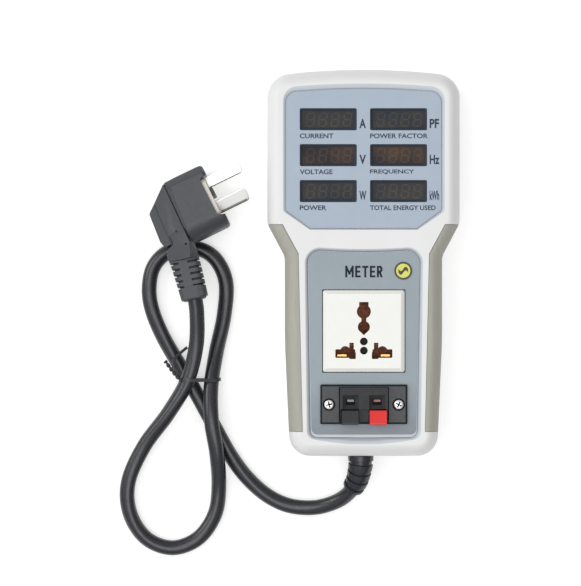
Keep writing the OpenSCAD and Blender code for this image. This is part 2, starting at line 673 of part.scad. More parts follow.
// ---- Push terminal ----
module lever_slot(side) {
    translate([side * lever_x - lever_w / 2 - lever_gap, 0, 0]) {
        y0 = terminal_y - terminal_h / 2 - over;
        translate([0, y0, terminal_z + lever_gap])
            cube([lever_w + 2 * lever_gap, pivot_y + 2.2 - y0, block_top]);
        translate([0, pivot_y - 4, pivot_z - 5.5])
            cube([lever_w + 2 * lever_gap, lever_well.x, lever_well.y]);
    }
}
module pivot_hole(side)
    translate([side * lever_x - lever_w / 2 - pivot_end - lever_gap, pivot_y, pivot_z])
        rotate([0, 90, 0]) cylinder(h = lever_w + 2 * (pivot_end + lever_gap), r = pivot_r + pivot_fit);
module wire_entry(side) {
    hull() {
        block_at(side * entry_x, entry_y, block_top, block_top + over, funnel.x, funnel.y);
        block_at(side * entry_x, entry_y, block_top - funnel_l - gap, block_top - funnel_l, entry.x, entry.y);
    }
    block_at(side * entry_x, entry_y, terminal_floor_z + 2, block_top, entry.x, entry.y);
    block_at(side * entry_x, entry_y + 0.7, terminal_floor_z - over, block_top - 5,
        strip_slot.x, strip_slot.y);
}
module terminal_base() color([0.24, 0.24, 0.25]) difference() {
    union() {
        block_at(0, terminal_y, terminal_z, terminal_z + flange_t, terminal_w, terminal_h);
        block_at(0, block_y, terminal_z, block_top, block_w, block_h);
        block_at(0, terminal_y, terminal_floor_z, terminal_z, block_w, block_h);
    }
    for (s = [-1, 1]) {
        lever_slot(s);
        pivot_hole(s);
        wire_entry(s);
        rod_at([s * screw_x, screw_y], terminal_z - over, block_top, screw_r + gap);
    }
}
module lever(side) translate([side * lever_x - lever_w / 2, pivot_y, pivot_z]) {
    rotate([90, 0, 90]) linear_extrude(lever_w) polygon(LEVER);
    translate([-pivot_end, 0, 0]) rotate([0, 90, 0]) cylinder(h = lever_w + 2 * pivot_end, r = pivot_r);
}
module red_lever() color([0.9, 0.2, 0.22]) lever(1);
module black_lever() color([0.14, 0.14, 0.15]) lever(-1);
module lever_spring(side) color("silver") translate([side * lever_x - spring_w / 2, pivot_y, pivot_z])
    rotate([90, 0, 90]) linear_extrude(spring_w) polygon(SPRING);
module red_lever_spring() lever_spring(1);
module black_lever_spring() lever_spring(-1);
module terminal_contact(side) color([0.78, 0.6, 0.3]) {
    strip_t = strip_slot.y - 2 * gap;
    step_z = terminal_floor_z + 2.2;
    block_at(side * entry_x, entry_y + 0.7, step_z, step_z + 4.8, entry.x - 4 * gap, strip_t);
    block_at(side * entry_x, entry_y + 0.7, terminal_floor_z - 4, step_z, strip_slot.x - 2 * gap, strip_t);
}
module red_terminal_contact() terminal_contact(1);
module black_terminal_contact() terminal_contact(-1);
module terminal_screws() color([0.85, 0.85, 0.85]) for (x = [-screw_x, screw_x]) difference() {
    union() {
        rod_at([x, screw_y], terminal_z + flange_t, terminal_z + flange_t + screw_head_l, screw_head_r);
        rod_at([x, screw_y], roof_z - 4, terminal_z + flange_t, screw_r);
    }
    for (turn = [45, 135]) translate([x, screw_y, terminal_z + flange_t + screw_cross.y])
        rotate([0, 0, turn]) translate([-screw_cross.x / 2, -screw_cross.y / 2, 0])
            cube([screw_cross.x, screw_cross.y, 2]);
}

// ---- Cord inside the case ----
module cord_inner_end() color([0.2, 0.21, 0.23]) translate([exit_x, -case_l / 2 + 1, exit_z])
    rotate([-90, 0, 0]) cylinder(h = inner_l, r = cord_d / 2);
module cord_clamp() color([0.85, 0.85, 0.83]) difference() {
    block_at(exit_x, clamp_y, exit_z, exit_z + clamp_size.z, clamp_size.x, clamp_size.y);
    translate([exit_x, clamp_y - clamp_size.y, exit_z]) rotate([-90, 0, 0])
        cylinder(h = 2 * clamp_size.y, r = cord_d / 2);
    for (x = [-clamp_dx, clamp_dx])
        rod_at([exit_x + x, clamp_y], exit_z - over, exit_z + clamp_size.z + over, small_screw_r + gap);
}
module cord_clamp_screws() color("silver") for (x = [-clamp_dx, clamp_dx]) {
    rod_at([exit_x + x, clamp_y], exit_z + clamp_size.z, exit_z + clamp_size.z + small_head_l, small_head_r);
    rod_at([exit_x + x, clamp_y], exit_z - pilot_l - over, exit_z + clamp_size.z, small_screw_r);
}
module cord_live_wire() color([0.45, 0.25, 0.12]) wire(LIVE_WIRE);
module cord_neutral_wire() color([0.15, 0.3, 0.65]) wire(NEUTRAL_WIRE);
module cord_earth_wire() color([0.35, 0.6, 0.2]) wire(EARTH_WIRE);
module socket_feed_wires() color([0.5, 0.5, 0.52]) {
    wire(SOCKET_WIRE);
    wire(flipped(SOCKET_WIRE));
}
module terminal_feed_wires() color([0.5, 0.5, 0.52]) {
    wire(TERMINAL_WIRE, thin_wire_r);
    wire(flipped(TERMINAL_WIRE), thin_wire_r);
}

// ---- Cord outside the case, plug and tie ----
module cord_strain_relief() color([0.2, 0.21, 0.23]) {
    route = [for (i = [0 : relief_points - 1]) CORD[i]];
    tube(route, [for (i = [0 : relief_points - 1])
        relief_r + (relief_tip_r - relief_r) * i / (relief_points - 1)], 16);
    difference() {
        union() {
            translate([exit_x, -case_l / 2 - 0.5, exit_z]) rotate([-90, 0, 0])
                cylinder(h = side_inset + 1, r = collar_r);
            translate([exit_x, -case_l / 2 + side_inset + 2 * gap, exit_z])
                translate([-flange_size.x / 2, 0, -flange_size.z / 2]) cube(flange_size);
        }
        translate([exit_x, -case_l / 2 + 1, exit_z]) rotate([-90, 0, 0])
            cylinder(h = side_inset + 4, r = cord_d / 2);
    }
}
module power_cord() color([0.2, 0.21, 0.23]) {
    route = [for (i = [cord_start : len(CORD) - 1]) CORD[i]];
    tube(route, [for (p = route) cord_d / 2], 10);
}
module in_plug() translate(plug_at) rotate([0, 0, plug_turn]) rotate([plug_tilt, 0, 0]) children();
module soft_slab(points, t) hull() {
    translate([0, 0, -t / 2]) linear_extrude(t) offset(delta = -plug_round) polygon(points);
    translate([0, 0, plug_round - t / 2]) linear_extrude(t - 2 * plug_round) polygon(points);
}
module plug_body() color([0.25, 0.26, 0.28]) in_plug() {
    soft_slab(PLUG_FRONT, plug_t);
    soft_slab(PLUG_BACK, plug_back_t);
    for (i = [0 : len(NECK) - 2]) hull() for (p = [NECK[i], NECK[i + 1]])
        translate([p[0], p[1], 0]) rotate([90, 0, -neck_lean]) cylinder(h = neck_ring_l, r = p[2], $fn = 24);
}
module plug_pin_carrier() color([0.85, 0.8, 0.7]) in_plug() translate([0, carrier_y, 0])
    rotate([0, 90, 0]) linear_extrude(carrier_t) hull() for (y = [-carrier_half, carrier_half])
        translate([0, y]) circle(r = carrier_r);
module blade(l) translate([carrier_t, -blade_w / 2, -blade_t / 2]) cube([l, blade_w, blade_t]);
module pole_pin(side) color([0.85, 0.85, 0.83]) in_plug()
    translate([0, pins_y - pin_pole.y, side * pin_pole.x]) rotate([side * pin_pole_turn, 0, 0])
        blade(blade_l);
module plug_live_pin() pole_pin(1);
module plug_neutral_pin() pole_pin(-1);
module plug_earth_pin() color([0.85, 0.85, 0.83]) in_plug() translate([0, pins_y + pin_earth, 0])
    blade(earth_blade_l);

module tie_outline(grow) hull() for (p = TIE_ROUND) translate(p) circle(r = cord_d / 2 + grow);
module cord_tie() color([0.1, 0.1, 0.11]) {
    translate([0, tie_y + tie_w / 2, 0]) rotate([90, 0, 0]) linear_extrude(tie_w) intersection() {
        difference() {
            tie_outline(tie_slack + tie_t);
            tie_outline(tie_slack);
        }
        translate(TIE_ROOM[0]) square(TIE_ROOM[1]);
    }
    tube(TIE_TAIL, [for (p = TIE_TAIL) tie_tail_r], 8);
}

front_shell();
rear_shell();
left_side_grip();
right_side_grip();
display_overlay();
window_lens();
current_display();
voltage_display();
power_display();
power_factor_display();
frequency_display();
energy_display();
display_board();
display_driver_chips();
display_board_screws();
board_ribbon();
main_board();
main_board_screws();
supply_transformer();
metering_chip();
current_shunt();
filter_capacitors();
fuse();
lower_panel();
panel_badge();
socket_face();
socket_housing();
socket_live_contact();
socket_neutral_contact();
socket_earth_contact();
socket_terminal_screws();
terminal_base();
red_lever();
black_lever();
red_lever_spring();
black_lever_spring();
red_terminal_contact();
black_terminal_contact();
terminal_screws();
cord_strain_relief();
cord_inner_end();
cord_clamp();
cord_clamp_screws();
cord_live_wire();
cord_neutral_wire();
cord_earth_wire();
socket_feed_wires();
terminal_feed_wires();
power_cord();
plug_body();
plug_pin_carrier();
plug_live_pin();
plug_neutral_pin();
plug_earth_pin();
cord_tie();
case_screws();
rear_feet();
rear_label();
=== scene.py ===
"""Looks of the plug in power meter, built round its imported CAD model.

Everything is in the CAD frame: +Z out of the meter's face, +Y towards its displays.
Shapes are written in millimetres and turned into metres where a mesh is made.
"""
import json
import math

import bpy
import bmesh
from mathutils import Matrix, Vector


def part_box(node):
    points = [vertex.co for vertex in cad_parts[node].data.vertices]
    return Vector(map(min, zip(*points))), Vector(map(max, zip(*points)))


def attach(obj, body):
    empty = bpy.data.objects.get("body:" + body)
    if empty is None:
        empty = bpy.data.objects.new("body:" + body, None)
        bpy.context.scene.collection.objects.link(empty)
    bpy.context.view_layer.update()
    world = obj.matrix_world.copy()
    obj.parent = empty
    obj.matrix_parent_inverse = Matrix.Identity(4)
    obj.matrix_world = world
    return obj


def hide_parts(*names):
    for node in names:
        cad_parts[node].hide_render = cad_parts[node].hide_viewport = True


MM = 0.001
METER = "meter"
SIDES = (-1, 1)

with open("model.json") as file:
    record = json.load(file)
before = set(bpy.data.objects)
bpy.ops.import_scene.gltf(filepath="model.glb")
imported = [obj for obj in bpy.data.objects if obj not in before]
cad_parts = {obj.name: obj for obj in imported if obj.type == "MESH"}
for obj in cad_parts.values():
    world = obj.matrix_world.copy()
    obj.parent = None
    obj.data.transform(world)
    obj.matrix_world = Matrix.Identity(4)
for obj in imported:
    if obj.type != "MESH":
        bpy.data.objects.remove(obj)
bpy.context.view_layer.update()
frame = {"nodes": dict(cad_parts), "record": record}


# ---------------- small helpers
def add_object(name, data):
    obj = bpy.data.objects.new(name, data)
    bpy.context.scene.collection.objects.link(obj)
    return obj


def shift(x, y, z=0.0):
    return Matrix.Translation((x, y, z))


def spin(degrees, axis="Z"):
    return Matrix.Rotation(math.radians(degrees), 4, axis)


def turns(steps):
    """The angles of equal steps round a circle."""
    return [2 * math.pi * i / steps for i in range(steps)]


def quarter(i, steps):
    """The angle of step i out of steps round a quarter circle."""
    return math.radians(90 * i / steps)


# Turns a shape drawn in X and Y with height Z so that it lies in Y and Z with its height along X
LAY_ALONG = Matrix(((0, 0, 1, 0), (1, 0, 0, 0), (0, 1, 0, 0), (0, 0, 0, 1)))


# ---------------- measures from the frame
def low(node, axis):
    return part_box(node)[0][axis] / MM


def high(node, axis):
    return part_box(node)[1][axis] / MM


def middle(node, axis):
    return (low(node, axis) + high(node, axis)) / 2


FACE_Z = high("front_shell", 2)
SPLIT_Z = low("front_shell", 2)
FLOOR_Z = low("rear_shell", 2)
HALF_L = high("front_shell", 1)
HALF_W = high("front_shell", 0)
OVERLAY_Z = low("display_overlay", 2)
OVERLAY_TOP = OVERLAY_Z + 0.5
PANEL_Z = low("lower_panel", 2)
PANEL_TOP = high("lower_panel", 2)
SOCKET_TOP = high("socket_face", 2)
SOCKET_Y = middle("socket_face", 1)
SOCKET_W = high("socket_face", 0) - low("socket_face", 0)
MODULE_TOP = high("current_display", 2)
TERMINAL_Y = middle("terminal_base", 1)
WINDOWS = ("current", "voltage", "power", "power_factor", "frequency", "energy")


# ---------------- outlines
def mirrored(corners):
    return [(-x, y, r, n) for x, y, r, n in reversed(corners)]


def arc_at(a, p, b, r, steps):
    """Points of the fillet of radius r at corner p between the lines to a and b."""
    u = (a - p).normalized()
    v = (b - p).normalized()
    half = math.acos(max(-1, min(1, u.dot(v)))) / 2
    centre = p + (u + v).normalized() * r / math.sin(half)
    start = p + u * r / math.tan(half) - centre
    end = p + v * r / math.tan(half) - centre
    first = math.atan2(start.y, start.x)
    span = math.atan2(end.y, end.x) - first
    span = (span + math.pi) % (2 * math.pi) - math.pi
    angles = [first + span * i / steps for i in range(steps + 1)]
    return [centre + r * Vector((math.cos(t), math.sin(t))) for t in angles]


def outline(corners, inset=0.0, detail=1):
    """A closed outline with rounded corners (x, y, radius, steps), moved inwards by inset."""
    n = len(corners)
    p = [Vector((c[0], c[1])) for c in corners]
    moved = []
    for i in range(n):
        d1 = (p[i] - p[i - 1]).normalized()
        d2 = (p[(i + 1) % n] - p[i]).normalized()
        n1 = Vector((-d1.y, d1.x))
        n2 = Vector((-d2.y, d2.x))
        moved.append(p[i] + inset * (n1 + n2) / (1 + n1.dot(n2)))
    points = []
    for i in range(n):
        a, q, b = moved[i - 1], moved[i], moved[(i + 1) % n]
        left = (q - a).cross(b - q) > 0
        r = max(corners[i][2] - inset, 0.25) if left else corners[i][2] + inset
        points += arc_at(a, q, b, r, corners[i][3] * detail)
    return points


def box_corners(w, h, r, x=0.0, y=0.0, steps=4):
    return [
        (x + w / 2, y - h / 2, r, steps),
        (x + w / 2, y + h / 2, r, steps),
        (x - w / 2, y + h / 2, r, steps),
        (x - w / 2, y - h / 2, r, steps),
    ]


# Outlines are lists of corners: x, y, fillet radius and steps, anticlockwise. Most are drawn for the
# right half and mirrored. The case's head is a shallow arch, a little past the CAD case.
HEAD_GROWTH = 0.6
ARCH_R = 350
ARCH_HALF = 36
ARCH_TILT = math.asin(ARCH_HALF / ARCH_R)
ARCH_TOP = HALF_L + HEAD_GROWTH + ARCH_R / math.cos(ARCH_TILT) - ARCH_R
CASE_RIGHT = [
    (37.9, -HALF_L, 11, 6),
    (40.5, -40, 300, 2),
    (40.5, 3.6, 9, 4),
    (HALF_W, 20.6, 9, 4),
    (HALF_W, ARCH_TOP - HALF_W * math.tan(ARCH_TILT), 12.5, 8),
]
CASE = CASE_RIGHT + [(0, ARCH_TOP, ARCH_R, 8)] + mirrored(CASE_RIGHT)
# Where the grips end, the display overlay and the mouth of its recess, the lower panel, and the
# ledge and the lip of its recess
GRIP_EDGE = [(41.7, 19.9), (33.5, 4.8), (33, -18.8), (31.4, -86.2)]
OVERLAY_RIGHT = [(27.4, 17.8, 1, 3), (40, 27.2, 2, 3), (40, 87.8, 6, 6)]
OVERLAY = OVERLAY_RIGHT + [(0, 90.6, 420, 6)] + mirrored(OVERLAY_RIGHT)
MOUTH_RIGHT = [(27.7, 17.2, 1.2, 3), (41.4, 26.6, 3, 3), (41.4, 90.2, 7.5, 6)]
MOUTH = MOUTH_RIGHT + [(0, 93.1, 420, 6)] + mirrored(MOUTH_RIGHT)
PANEL_RIGHT = [(26.8, -87.7, 3, 4), (28.65, 6.8, 6.5, 6)]
PANEL = PANEL_RIGHT + [(0, 4.9, 300, 6)] + mirrored(PANEL_RIGHT) + [(0, -87.75, 3000, 6)]
LEDGE_RIGHT = [(27.2, -89.1, 3.6, 4), (28.9, 7.1, 6.7, 6)]
LEDGE = LEDGE_RIGHT + [(0, 5.2, 300, 6)] + mirrored(LEDGE_RIGHT) + [(0, -89.2, 1500, 6)]
LIP_RIGHT = [(29.2, -89.6, 4.5, 4), (30.4, 8.7, 8, 6)]
LIP = LIP_RIGHT + [(0, 6.8, 300, 6)] + mirrored(LIP_RIGHT) + [(0, -94.6, 130, 6)]

# Route of the cord's centre line, from the case to the plug, as in part.scad
CORD = [
    (-1.1, -99.1, 20), (-1.3, -105, 19.4), (-3, -112.5, 15.9), (-6.5, -118.5, 11),
    (-13.5, -123.8, 7), (-25, -127.2, 4.4), (-38.5, -126.3, 4), (-50, -121, 4),
    (-60, -112, 4), (-68.5, -100.5, 4), (-77.5, -84.5, 4), (-87, -67.5, 4),
    (-96.5, -51.5, 4), (-104.5, -37, 4), (-109.8, -24, 4), (-111.5, -13, 4),
    (-109.5, -2, 4), (-103, 5.5, 4), (-94, 8, 4), (-84, 7.3, 4),
    (-76, 1.3, 4), (-71.2, -10.5, 4), (-72.3, -28, 4.2), (-76.3, -46, 5.6),
    (-79.1, -64, 9.8), (-78.6, -82, 12.8), (-75.8, -99, 11.2), (-75, -116, 5.4),
    (-77.3, -131, 4), (-86, -143.5, 4), (-99.5, -148.5, 4), (-113, -143.5, 4),
    (-121.3, -130.5, 4), (-122.2, -114, 4.2), (-114, -95, 6), (-101, -77.5, 9.8),
    (-91.2, -61, 12.4), (-86.7, -43, 13.6), (-86.3, -27, 16.4), (-87.2, -18, 17.8),
]
CORD_D = 7.8
RELIEF_POINTS = 4
PLUG_AT = Vector((-77.6, 32.9, 14.5))
PLUG_TURN = 26
PLUG_TILT = -4.3
IN_PLUG = shift(*PLUG_AT) @ spin(PLUG_TURN) @ spin(PLUG_TILT, "X")


# ---------------- camera, made first
# The camera looks straight down from VIEW_DISTANCE above the face and sees FRAME_HEIGHT there
VIEW_X, VIEW_Y = -37.55, -15.2
VIEW_DISTANCE = 2000
FRAME_HEIGHT = 300.03
SENSOR = 36
NEAREST_M, FARTHEST_M = 0.05, 20


def make_camera():
    data = bpy.data.cameras.new("camera")
    data.sensor_width = SENSOR
    data.lens = SENSOR * VIEW_DISTANCE / FRAME_HEIGHT
    data.clip_start = NEAREST_M
    data.clip_end = FARTHEST_M
    camera = add_object("camera", data)
    camera.location = (VIEW_X * MM, VIEW_Y * MM, (FACE_Z + VIEW_DISTANCE) * MM)
    bpy.context.scene.camera = camera


make_camera()


# ---------------- materials
# How much brighter the studio lights a level surface than a white card needs
EXPOSURE = 1.22


def linear(r, g, b):
    """A colour given as the 0-255 values that it shows on a level surface, as linear light."""
    out = []
    for c in (r, g, b):
        c = c / 255
        light = c / 12.92 if c <= 0.04045 else ((c + 0.055) / 1.055) ** 2.4
        out.append(light / EXPOSURE)
    return (*out, 1.0)


def scaled(colour, k):
    return tuple(min(1.0, c * k) for c in colour[:3]) + (1.0,)


def new_material(name):
    m = bpy.data.materials.new(name)
    m.use_nodes = True
    return m, m.node_tree, m.node_tree.nodes["Principled BSDF"]


def noise(tree, scale, detail=3.0, stretch=None):
    """A noise texture in object space, its scale in features per metre."""
    spot = tree.nodes.new("ShaderNodeTexCoord").outputs["Object"]
    n = tree.nodes.new("ShaderNodeTexNoise")
    n.inputs["Scale"].default_value = scale
    n.inputs["Detail"].default_value = detail
    if stretch:
        mapping = tree.nodes.new("ShaderNodeMapping")
        mapping.inputs["Scale"].default_value = stretch
        tree.links.new(spot, mapping.inputs["Vector"])
        spot = mapping.outputs["Vector"]
    tree.links.new(spot, n.inputs["Vector"])
    return n.outputs["Fac"]


def ramp(tree, fac, stops):
    """A blend between two colours, given as two stops (place, colour)."""
    r = tree.nodes.new("ShaderNodeValToRGB")
    for element, (spot, colour) in zip(r.color_ramp.elements, stops):
        element.position = spot
        element.color = colour
    tree.links.new(fac, r.inputs["Fac"])
    return r.outputs["Color"]


def add_roughness(tree, bsdf, rough, spread, scale):
    """Uneven gloss: the roughness wanders by spread to both sides of rough."""
    grey = ((0.3, scaled((1, 1, 1), max(rough - spread, 0.02))), (0.7, scaled((1, 1, 1), rough + spread)))
    tree.links.new(ramp(tree, noise(tree, scale), grey), bsdf.inputs["Roughness"])


def add_bump(tree, bsdf, fac, strength, depth_mm):
    b = tree.nodes.new("ShaderNodeBump")
    b.inputs["Strength"].default_value = strength
    b.inputs["Distance"].default_value = depth_mm * MM
    tree.links.new(fac, b.inputs["Height"])
    tree.links.new(b.outputs["Normal"], bsdf.inputs["Normal"])


def paint_corner_shade(tree, colour_out, dark, distance_mm):
    """Darkens the colour where the surface is close to another: painted shade in seams, corners and recesses.
    """
    ao = tree.nodes.new("ShaderNodeAmbientOcclusion")
    ao.inputs["Distance"].default_value = distance_mm * MM
    ao.samples = 6
    mix = tree.nodes.new("ShaderNodeMix")
    mix.data_type = "RGBA"
    mix.inputs["A"].default_value = dark
    openness = ramp(tree, ao.outputs["AO"], ((0.25, (0, 0, 0, 1)), (0.85, (1, 1, 1, 1))))
    tree.links.new(openness, mix.inputs["Factor"])
    tree.links.new(colour_out, mix.inputs["B"])
    return mix.outputs["Result"]


def painted_shade_along_y(tree, colour_out, start_mm, end_mm, dark):
    """Multiplies the colour by dark at end_mm, fading in from start_mm along the case: painted shade that
    deepens towards end_mm.
    """
    coords = tree.nodes.new("ShaderNodeTexCoord")
    split = tree.nodes.new("ShaderNodeSeparateXYZ")
    span = tree.nodes.new("ShaderNodeMapRange")
    span.inputs["From Min"].default_value = start_mm * MM
    span.inputs["From Max"].default_value = end_mm * MM
    mix = tree.nodes.new("ShaderNodeMix")
    mix.data_type = "RGBA"
    mix.blend_type = "MULTIPLY"
    mix.inputs["B"].default_value = (dark, dark, dark, 1)
    tree.links.new(coords.outputs["Object"], split.inputs["Vector"])
    tree.links.new(split.outputs["Y"], span.inputs["Value"])
    tree.links.new(span.outputs["Result"], mix.inputs["Factor"])
    tree.links.new(colour_out, mix.inputs["A"])
    return mix.outputs["Result"]


SURFACES = {}
# How far the painted shade in corners and seams reaches, in millimetres
CORNER_SHADE_REACH = 1.2


def moulded(name, colour, rough, tint=0.03, patch=60, grain=2500, depth=0.02, strength=0.4, spread=0.05,
            metallic=0.0, corner_shade=None, stretch=None, painted_shade_y=None, shine=0.5):
    """A moulded or printed surface: patchy colour, uneven gloss and a fine grain.

    The colour varies by tint in patches; patch and grain are features per metre; depth in
    millimetres and strength are the grain's; corner_shade is the share of light left in corners, as painted
    shade.
    """
    m, tree, bsdf = new_material(name)
    patches = noise(tree, patch, 3, stretch)
    shade = ramp(tree, patches, ((0.3, scaled(colour, 1 - tint)), (0.7, scaled(colour, 1 + tint))))
    if corner_shade:
        shade = paint_corner_shade(tree, shade, scaled(colour, corner_shade), CORNER_SHADE_REACH)
    if painted_shade_y:
        shade = painted_shade_along_y(tree, shade, *painted_shade_y)
    tree.links.new(shade, bsdf.inputs["Base Color"])
    add_roughness(tree, bsdf, rough, spread, patch * 4)
    add_bump(tree, bsdf, noise(tree, grain, 4, stretch), strength, depth)
    bsdf.inputs["Metallic"].default_value = metallic
    bsdf.inputs["Specular IOR Level"].default_value = shine
    SURFACES[name] = m
    return m


# Surfaces given a share of light for their corners get painted shade in seams, corners and recesses
SHELL = linear(226, 227, 226)
# name, colour, roughness, tint, patch, grain, depth, strength
moulded("shell", SHELL, 0.42, 0.012, 25, 3000, 0.015, 0.35, corner_shade=0.62)
# A darker copy of the shell's white: painted shade for the white clamp inside the case
moulded("shell_inside_shaded", scaled(SHELL, 0.7), 0.5, 0.02, 40)
moulded("grip", linear(166, 165, 154), 0.62, 0.05, 1500, 1500, 0.16, 0.7, corner_shade=0.6,
        stretch=(1, 0.06, 0.3))
moulded("overlay", linear(160, 174, 190), 0.4, 0.015, 30, 2600, 0.012, 0.4, corner_shade=0.8)
# The recesses' sloping walls: painted reflection of the coloured sheets and painted shade
moulded("recess", linear(190, 197, 205), 0.4, 0.012, 25, 3000, 0.01, 0.3, corner_shade=0.6)
moulded("bezel", linear(56, 63, 72), 0.5, 0.05, 200, 2000, 0.01, 0.3, shine=0.1)
# Painted shade in the hollow below the lower panel
moulded("scoop_painted_shade", linear(176, 181, 187), 0.45, 0.012, 25, 3000, 0.01, 0.3, corner_shade=0.6)
# The panel darkens towards its lower end: painted shade
moulded("panel", linear(145, 157, 165), 0.5, 0.02, 60, 2200, 0.015, 0.5, corner_shade=0.75, painted_shade_y=(-60, -88, 0.72))
moulded("ink", linear(50, 58, 76), 0.5, 0.08, 600, 3000, 0.004, 0.3, shine=0.15)
moulded("ink_dark", linear(30, 36, 46), 0.5, 0.08, 600, 3000, 0.004, 0.3, shine=0.1)
moulded("badge_yellow", linear(214, 212, 84), 0.38, 0.03, 300)
moulded("badge_dark", linear(46, 42, 24), 0.45, 0.08, 300)
moulded("socket", linear(236, 236, 231), 0.34, 0.01, 60, 2000, 0.008, 0.3, corner_shade=0.7)
# The socket's inner body is darkened to near black: painted shade deep in the openings
moulded("housing_painted_shade", linear(30, 20, 18), 0.7, 0.15, 200)
moulded("terminal", linear(51, 54, 57), 0.5, 0.06, 160, 1800, 0.03, 0.6, corner_shade=0.4)
moulded("terminal_dark", linear(43, 44, 46), 0.5, 0.08, 160, 1800, 0.03, 0.6, corner_shade=0.4, shine=0.25)
moulded("lever_red", linear(228, 44, 42), 0.4, 0.03, 200, 1600, 0.01, 0.3)
moulded("lever_black", linear(38, 39, 42), 0.5, 0.06, 200, 1600, 0.02, 0.4)
moulded("cord", linear(35, 36, 42), 0.3, 0.05, 120, 1500, 0.03, 0.5)
moulded("plug", linear(56, 59, 64), 0.45, 0.09, 420, 1100, 0.06, 0.7, corner_shade=0.6)
moulded("carrier", linear(226, 221, 210), 0.5, 0.03, 200)
# A darker copy of the blades' nickel: painted shade on their lower edges
moulded("nickel_painted_shade", linear(96, 94, 90), 0.3, 0.1, 300, metallic=0.6)
# Painted shade for gaps: the terminal flange's lower rim and the floors of the screw slots
moulded("gap", linear(34, 35, 38), 0.7, 0.1, 300, shine=0.1)
# A darkened copy of the lever red: painted shade on the lever's arm seen down the red entry
moulded("tongue_red_shaded", linear(150, 84, 88), 0.4, 0.15, 500)
moulded("tongue", linear(120, 116, 116), 0.4, 0.15, 500, metallic=0.4)
moulded("nickel", (0.88, 0.88, 0.86, 1), 0.38, 0.01, 200, 900, 0.002, 0.2, metallic=0.55)
moulded("steel", (0.92, 0.92, 0.92, 1), 0.3, 0.03, 300, 1500, 0.004, 0.2, metallic=0.9, corner_shade=0.1)
# Contact metal darkened for the contacts deep in the socket: painted shade
moulded("brass_shaded", linear(124, 74, 50), 0.45, 0.4, 700, 1500, 0.03, 0.6, metallic=0.7)
# Bright contact metal for the contacts' bent ends: a painted glint
moulded("brass_painted_glint", linear(252, 196, 120), 0.3, 0.1, 500, 1500, 0.02, 0.4, metallic=0.8)
moulded("tie", linear(44, 45, 48), 0.35, 0.08, 400, 1500, 0.02, 0.4)
moulded("feet", linear(60, 60, 62), 0.7, 0.05, 300, 2500, 0.05, 0.6)
moulded("label", linear(198, 200, 204), 0.35, 0.015, 80, 2500, 0.006, 0.3)
moulded("led_body", linear(24, 22, 22), 0.5, 0.1, 300)
moulded("segment", linear(250, 236, 216), 0.4, 0.1, 500)
moulded("board", linear(24, 92, 52), 0.35, 0.08, 200, 900, 0.02, 0.4)
moulded("chip", linear(36, 36, 38), 0.5, 0.06, 300)
moulded("iron", linear(110, 104, 98), 0.45, 0.1, 300, 1800, 0.05, 0.6, metallic=0.8, stretch=(1, 1, 0.05))
moulded("shunt", linear(196, 128, 92), 0.3, 0.06, 300, metallic=1.0)
moulded("sleeve", linear(36, 44, 96), 0.3, 0.05, 300)
moulded("fuse", linear(200, 204, 200), 0.15, 0.04, 300)
WIRES = {"brown": (104, 58, 30), "blue": (36, 74, 160), "green": (96, 156, 50), "grey": (140, 140, 144)}
for hue, shown in WIRES.items():
    moulded(f"wire_{hue}", linear(*shown), 0.4, 0.05, 300)


def make_pane(name, deep, warm):
    """Smoked acrylic, dark in some places and warm in others, the warm patches a painted reflection; the
    digits behind it show faintly.
    """
    m, tree, bsdf = new_material(name)
    shade = ramp(tree, noise(tree, 75, 4), ((0.35, deep), (0.68, warm)))
    tree.links.new(shade, bsdf.inputs["Base Color"])
    add_roughness(tree, bsdf, 0.3, 0.05, 200)
    bsdf.inputs["Specular IOR Level"].default_value = 0.1
    bsdf.inputs["Alpha"].default_value = 0.6
    SURFACES[name] = m


make_pane("pane", linear(52, 58, 66), linear(74, 72, 70))
make_pane("pane_painted_reflection", linear(54, 50, 54), linear(98, 76, 60))

SLOT_SURFACE = {
    "shell_white": "shell", "grip_grey": "grip", "overlay_blue": "overlay", "lens_smoked": "pane",
    "led_module": "led_body", "circuit_board": "board", "chip_black": "chip", "wire_grey": "wire_grey",
    "transformer_iron": "iron", "shunt_alloy": "shunt", "capacitor_sleeve": "sleeve", "fuse_glass": "fuse",
    "panel_grey": "panel", "badge_yellow": "badge_yellow", "socket_white": "socket",
    "housing_brown": "housing_painted_shade", "contact_brass": "brass_shaded", "terminal_black": "terminal",
    "lever_red": "lever_red", "lever_black": "lever_black", "spring_steel": "steel",
    "screw_steel": "steel", "cord_black": "cord", "clamp_white": "shell_inside_shaded",
    "wire_brown": "wire_brown", "wire_blue": "wire_blue", "wire_green": "wire_green",
    "plug_black": "plug", "carrier_beige": "carrier", "pin_nickel": "nickel", "tie_black": "tie",
    "feet_rubber": "feet", "label_silver": "label",
}


# ---------------- mesh helpers
def place(obj, surface, slot, replaces=(), body=METER, sharp=32):
    """Finishes a piece: material, smooth shading with kept edges, body and the nodes it stands for; slot is
    not used.
    """
    obj.data.materials.clear()
    obj.data.materials.append(SURFACES[surface])
    obj.data.polygons.foreach_set("use_smooth", [True] * len(obj.data.polygons))
    obj.data.set_sharp_from_angle(angle=math.radians(sharp))
    weight = obj.modifiers.new("weight", "WEIGHTED_NORMAL")
    weight.keep_sharp = True
    apply_modifiers(obj)
    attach(obj, body)
    if replaces:
        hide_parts(*replaces)
    return obj


def mesh_object(name, points, faces, matrix=None):
    """A mesh object from points in millimetres, with its faces turned outwards."""
    mesh = bpy.data.meshes.new(name)
    mesh.from_pydata([tuple(p) for p in points], [], faces)
    bm = bmesh.new()
    bm.from_mesh(mesh)
    if matrix:
        bmesh.ops.transform(bm, matrix=matrix, verts=bm.verts)
    bmesh.ops.scale(bm, vec=(MM, MM, MM), verts=bm.verts)
    bmesh.ops.recalc_face_normals(bm, faces=bm.faces)
    bm.to_mesh(mesh)
    bm.free()
    return add_object(name, mesh)


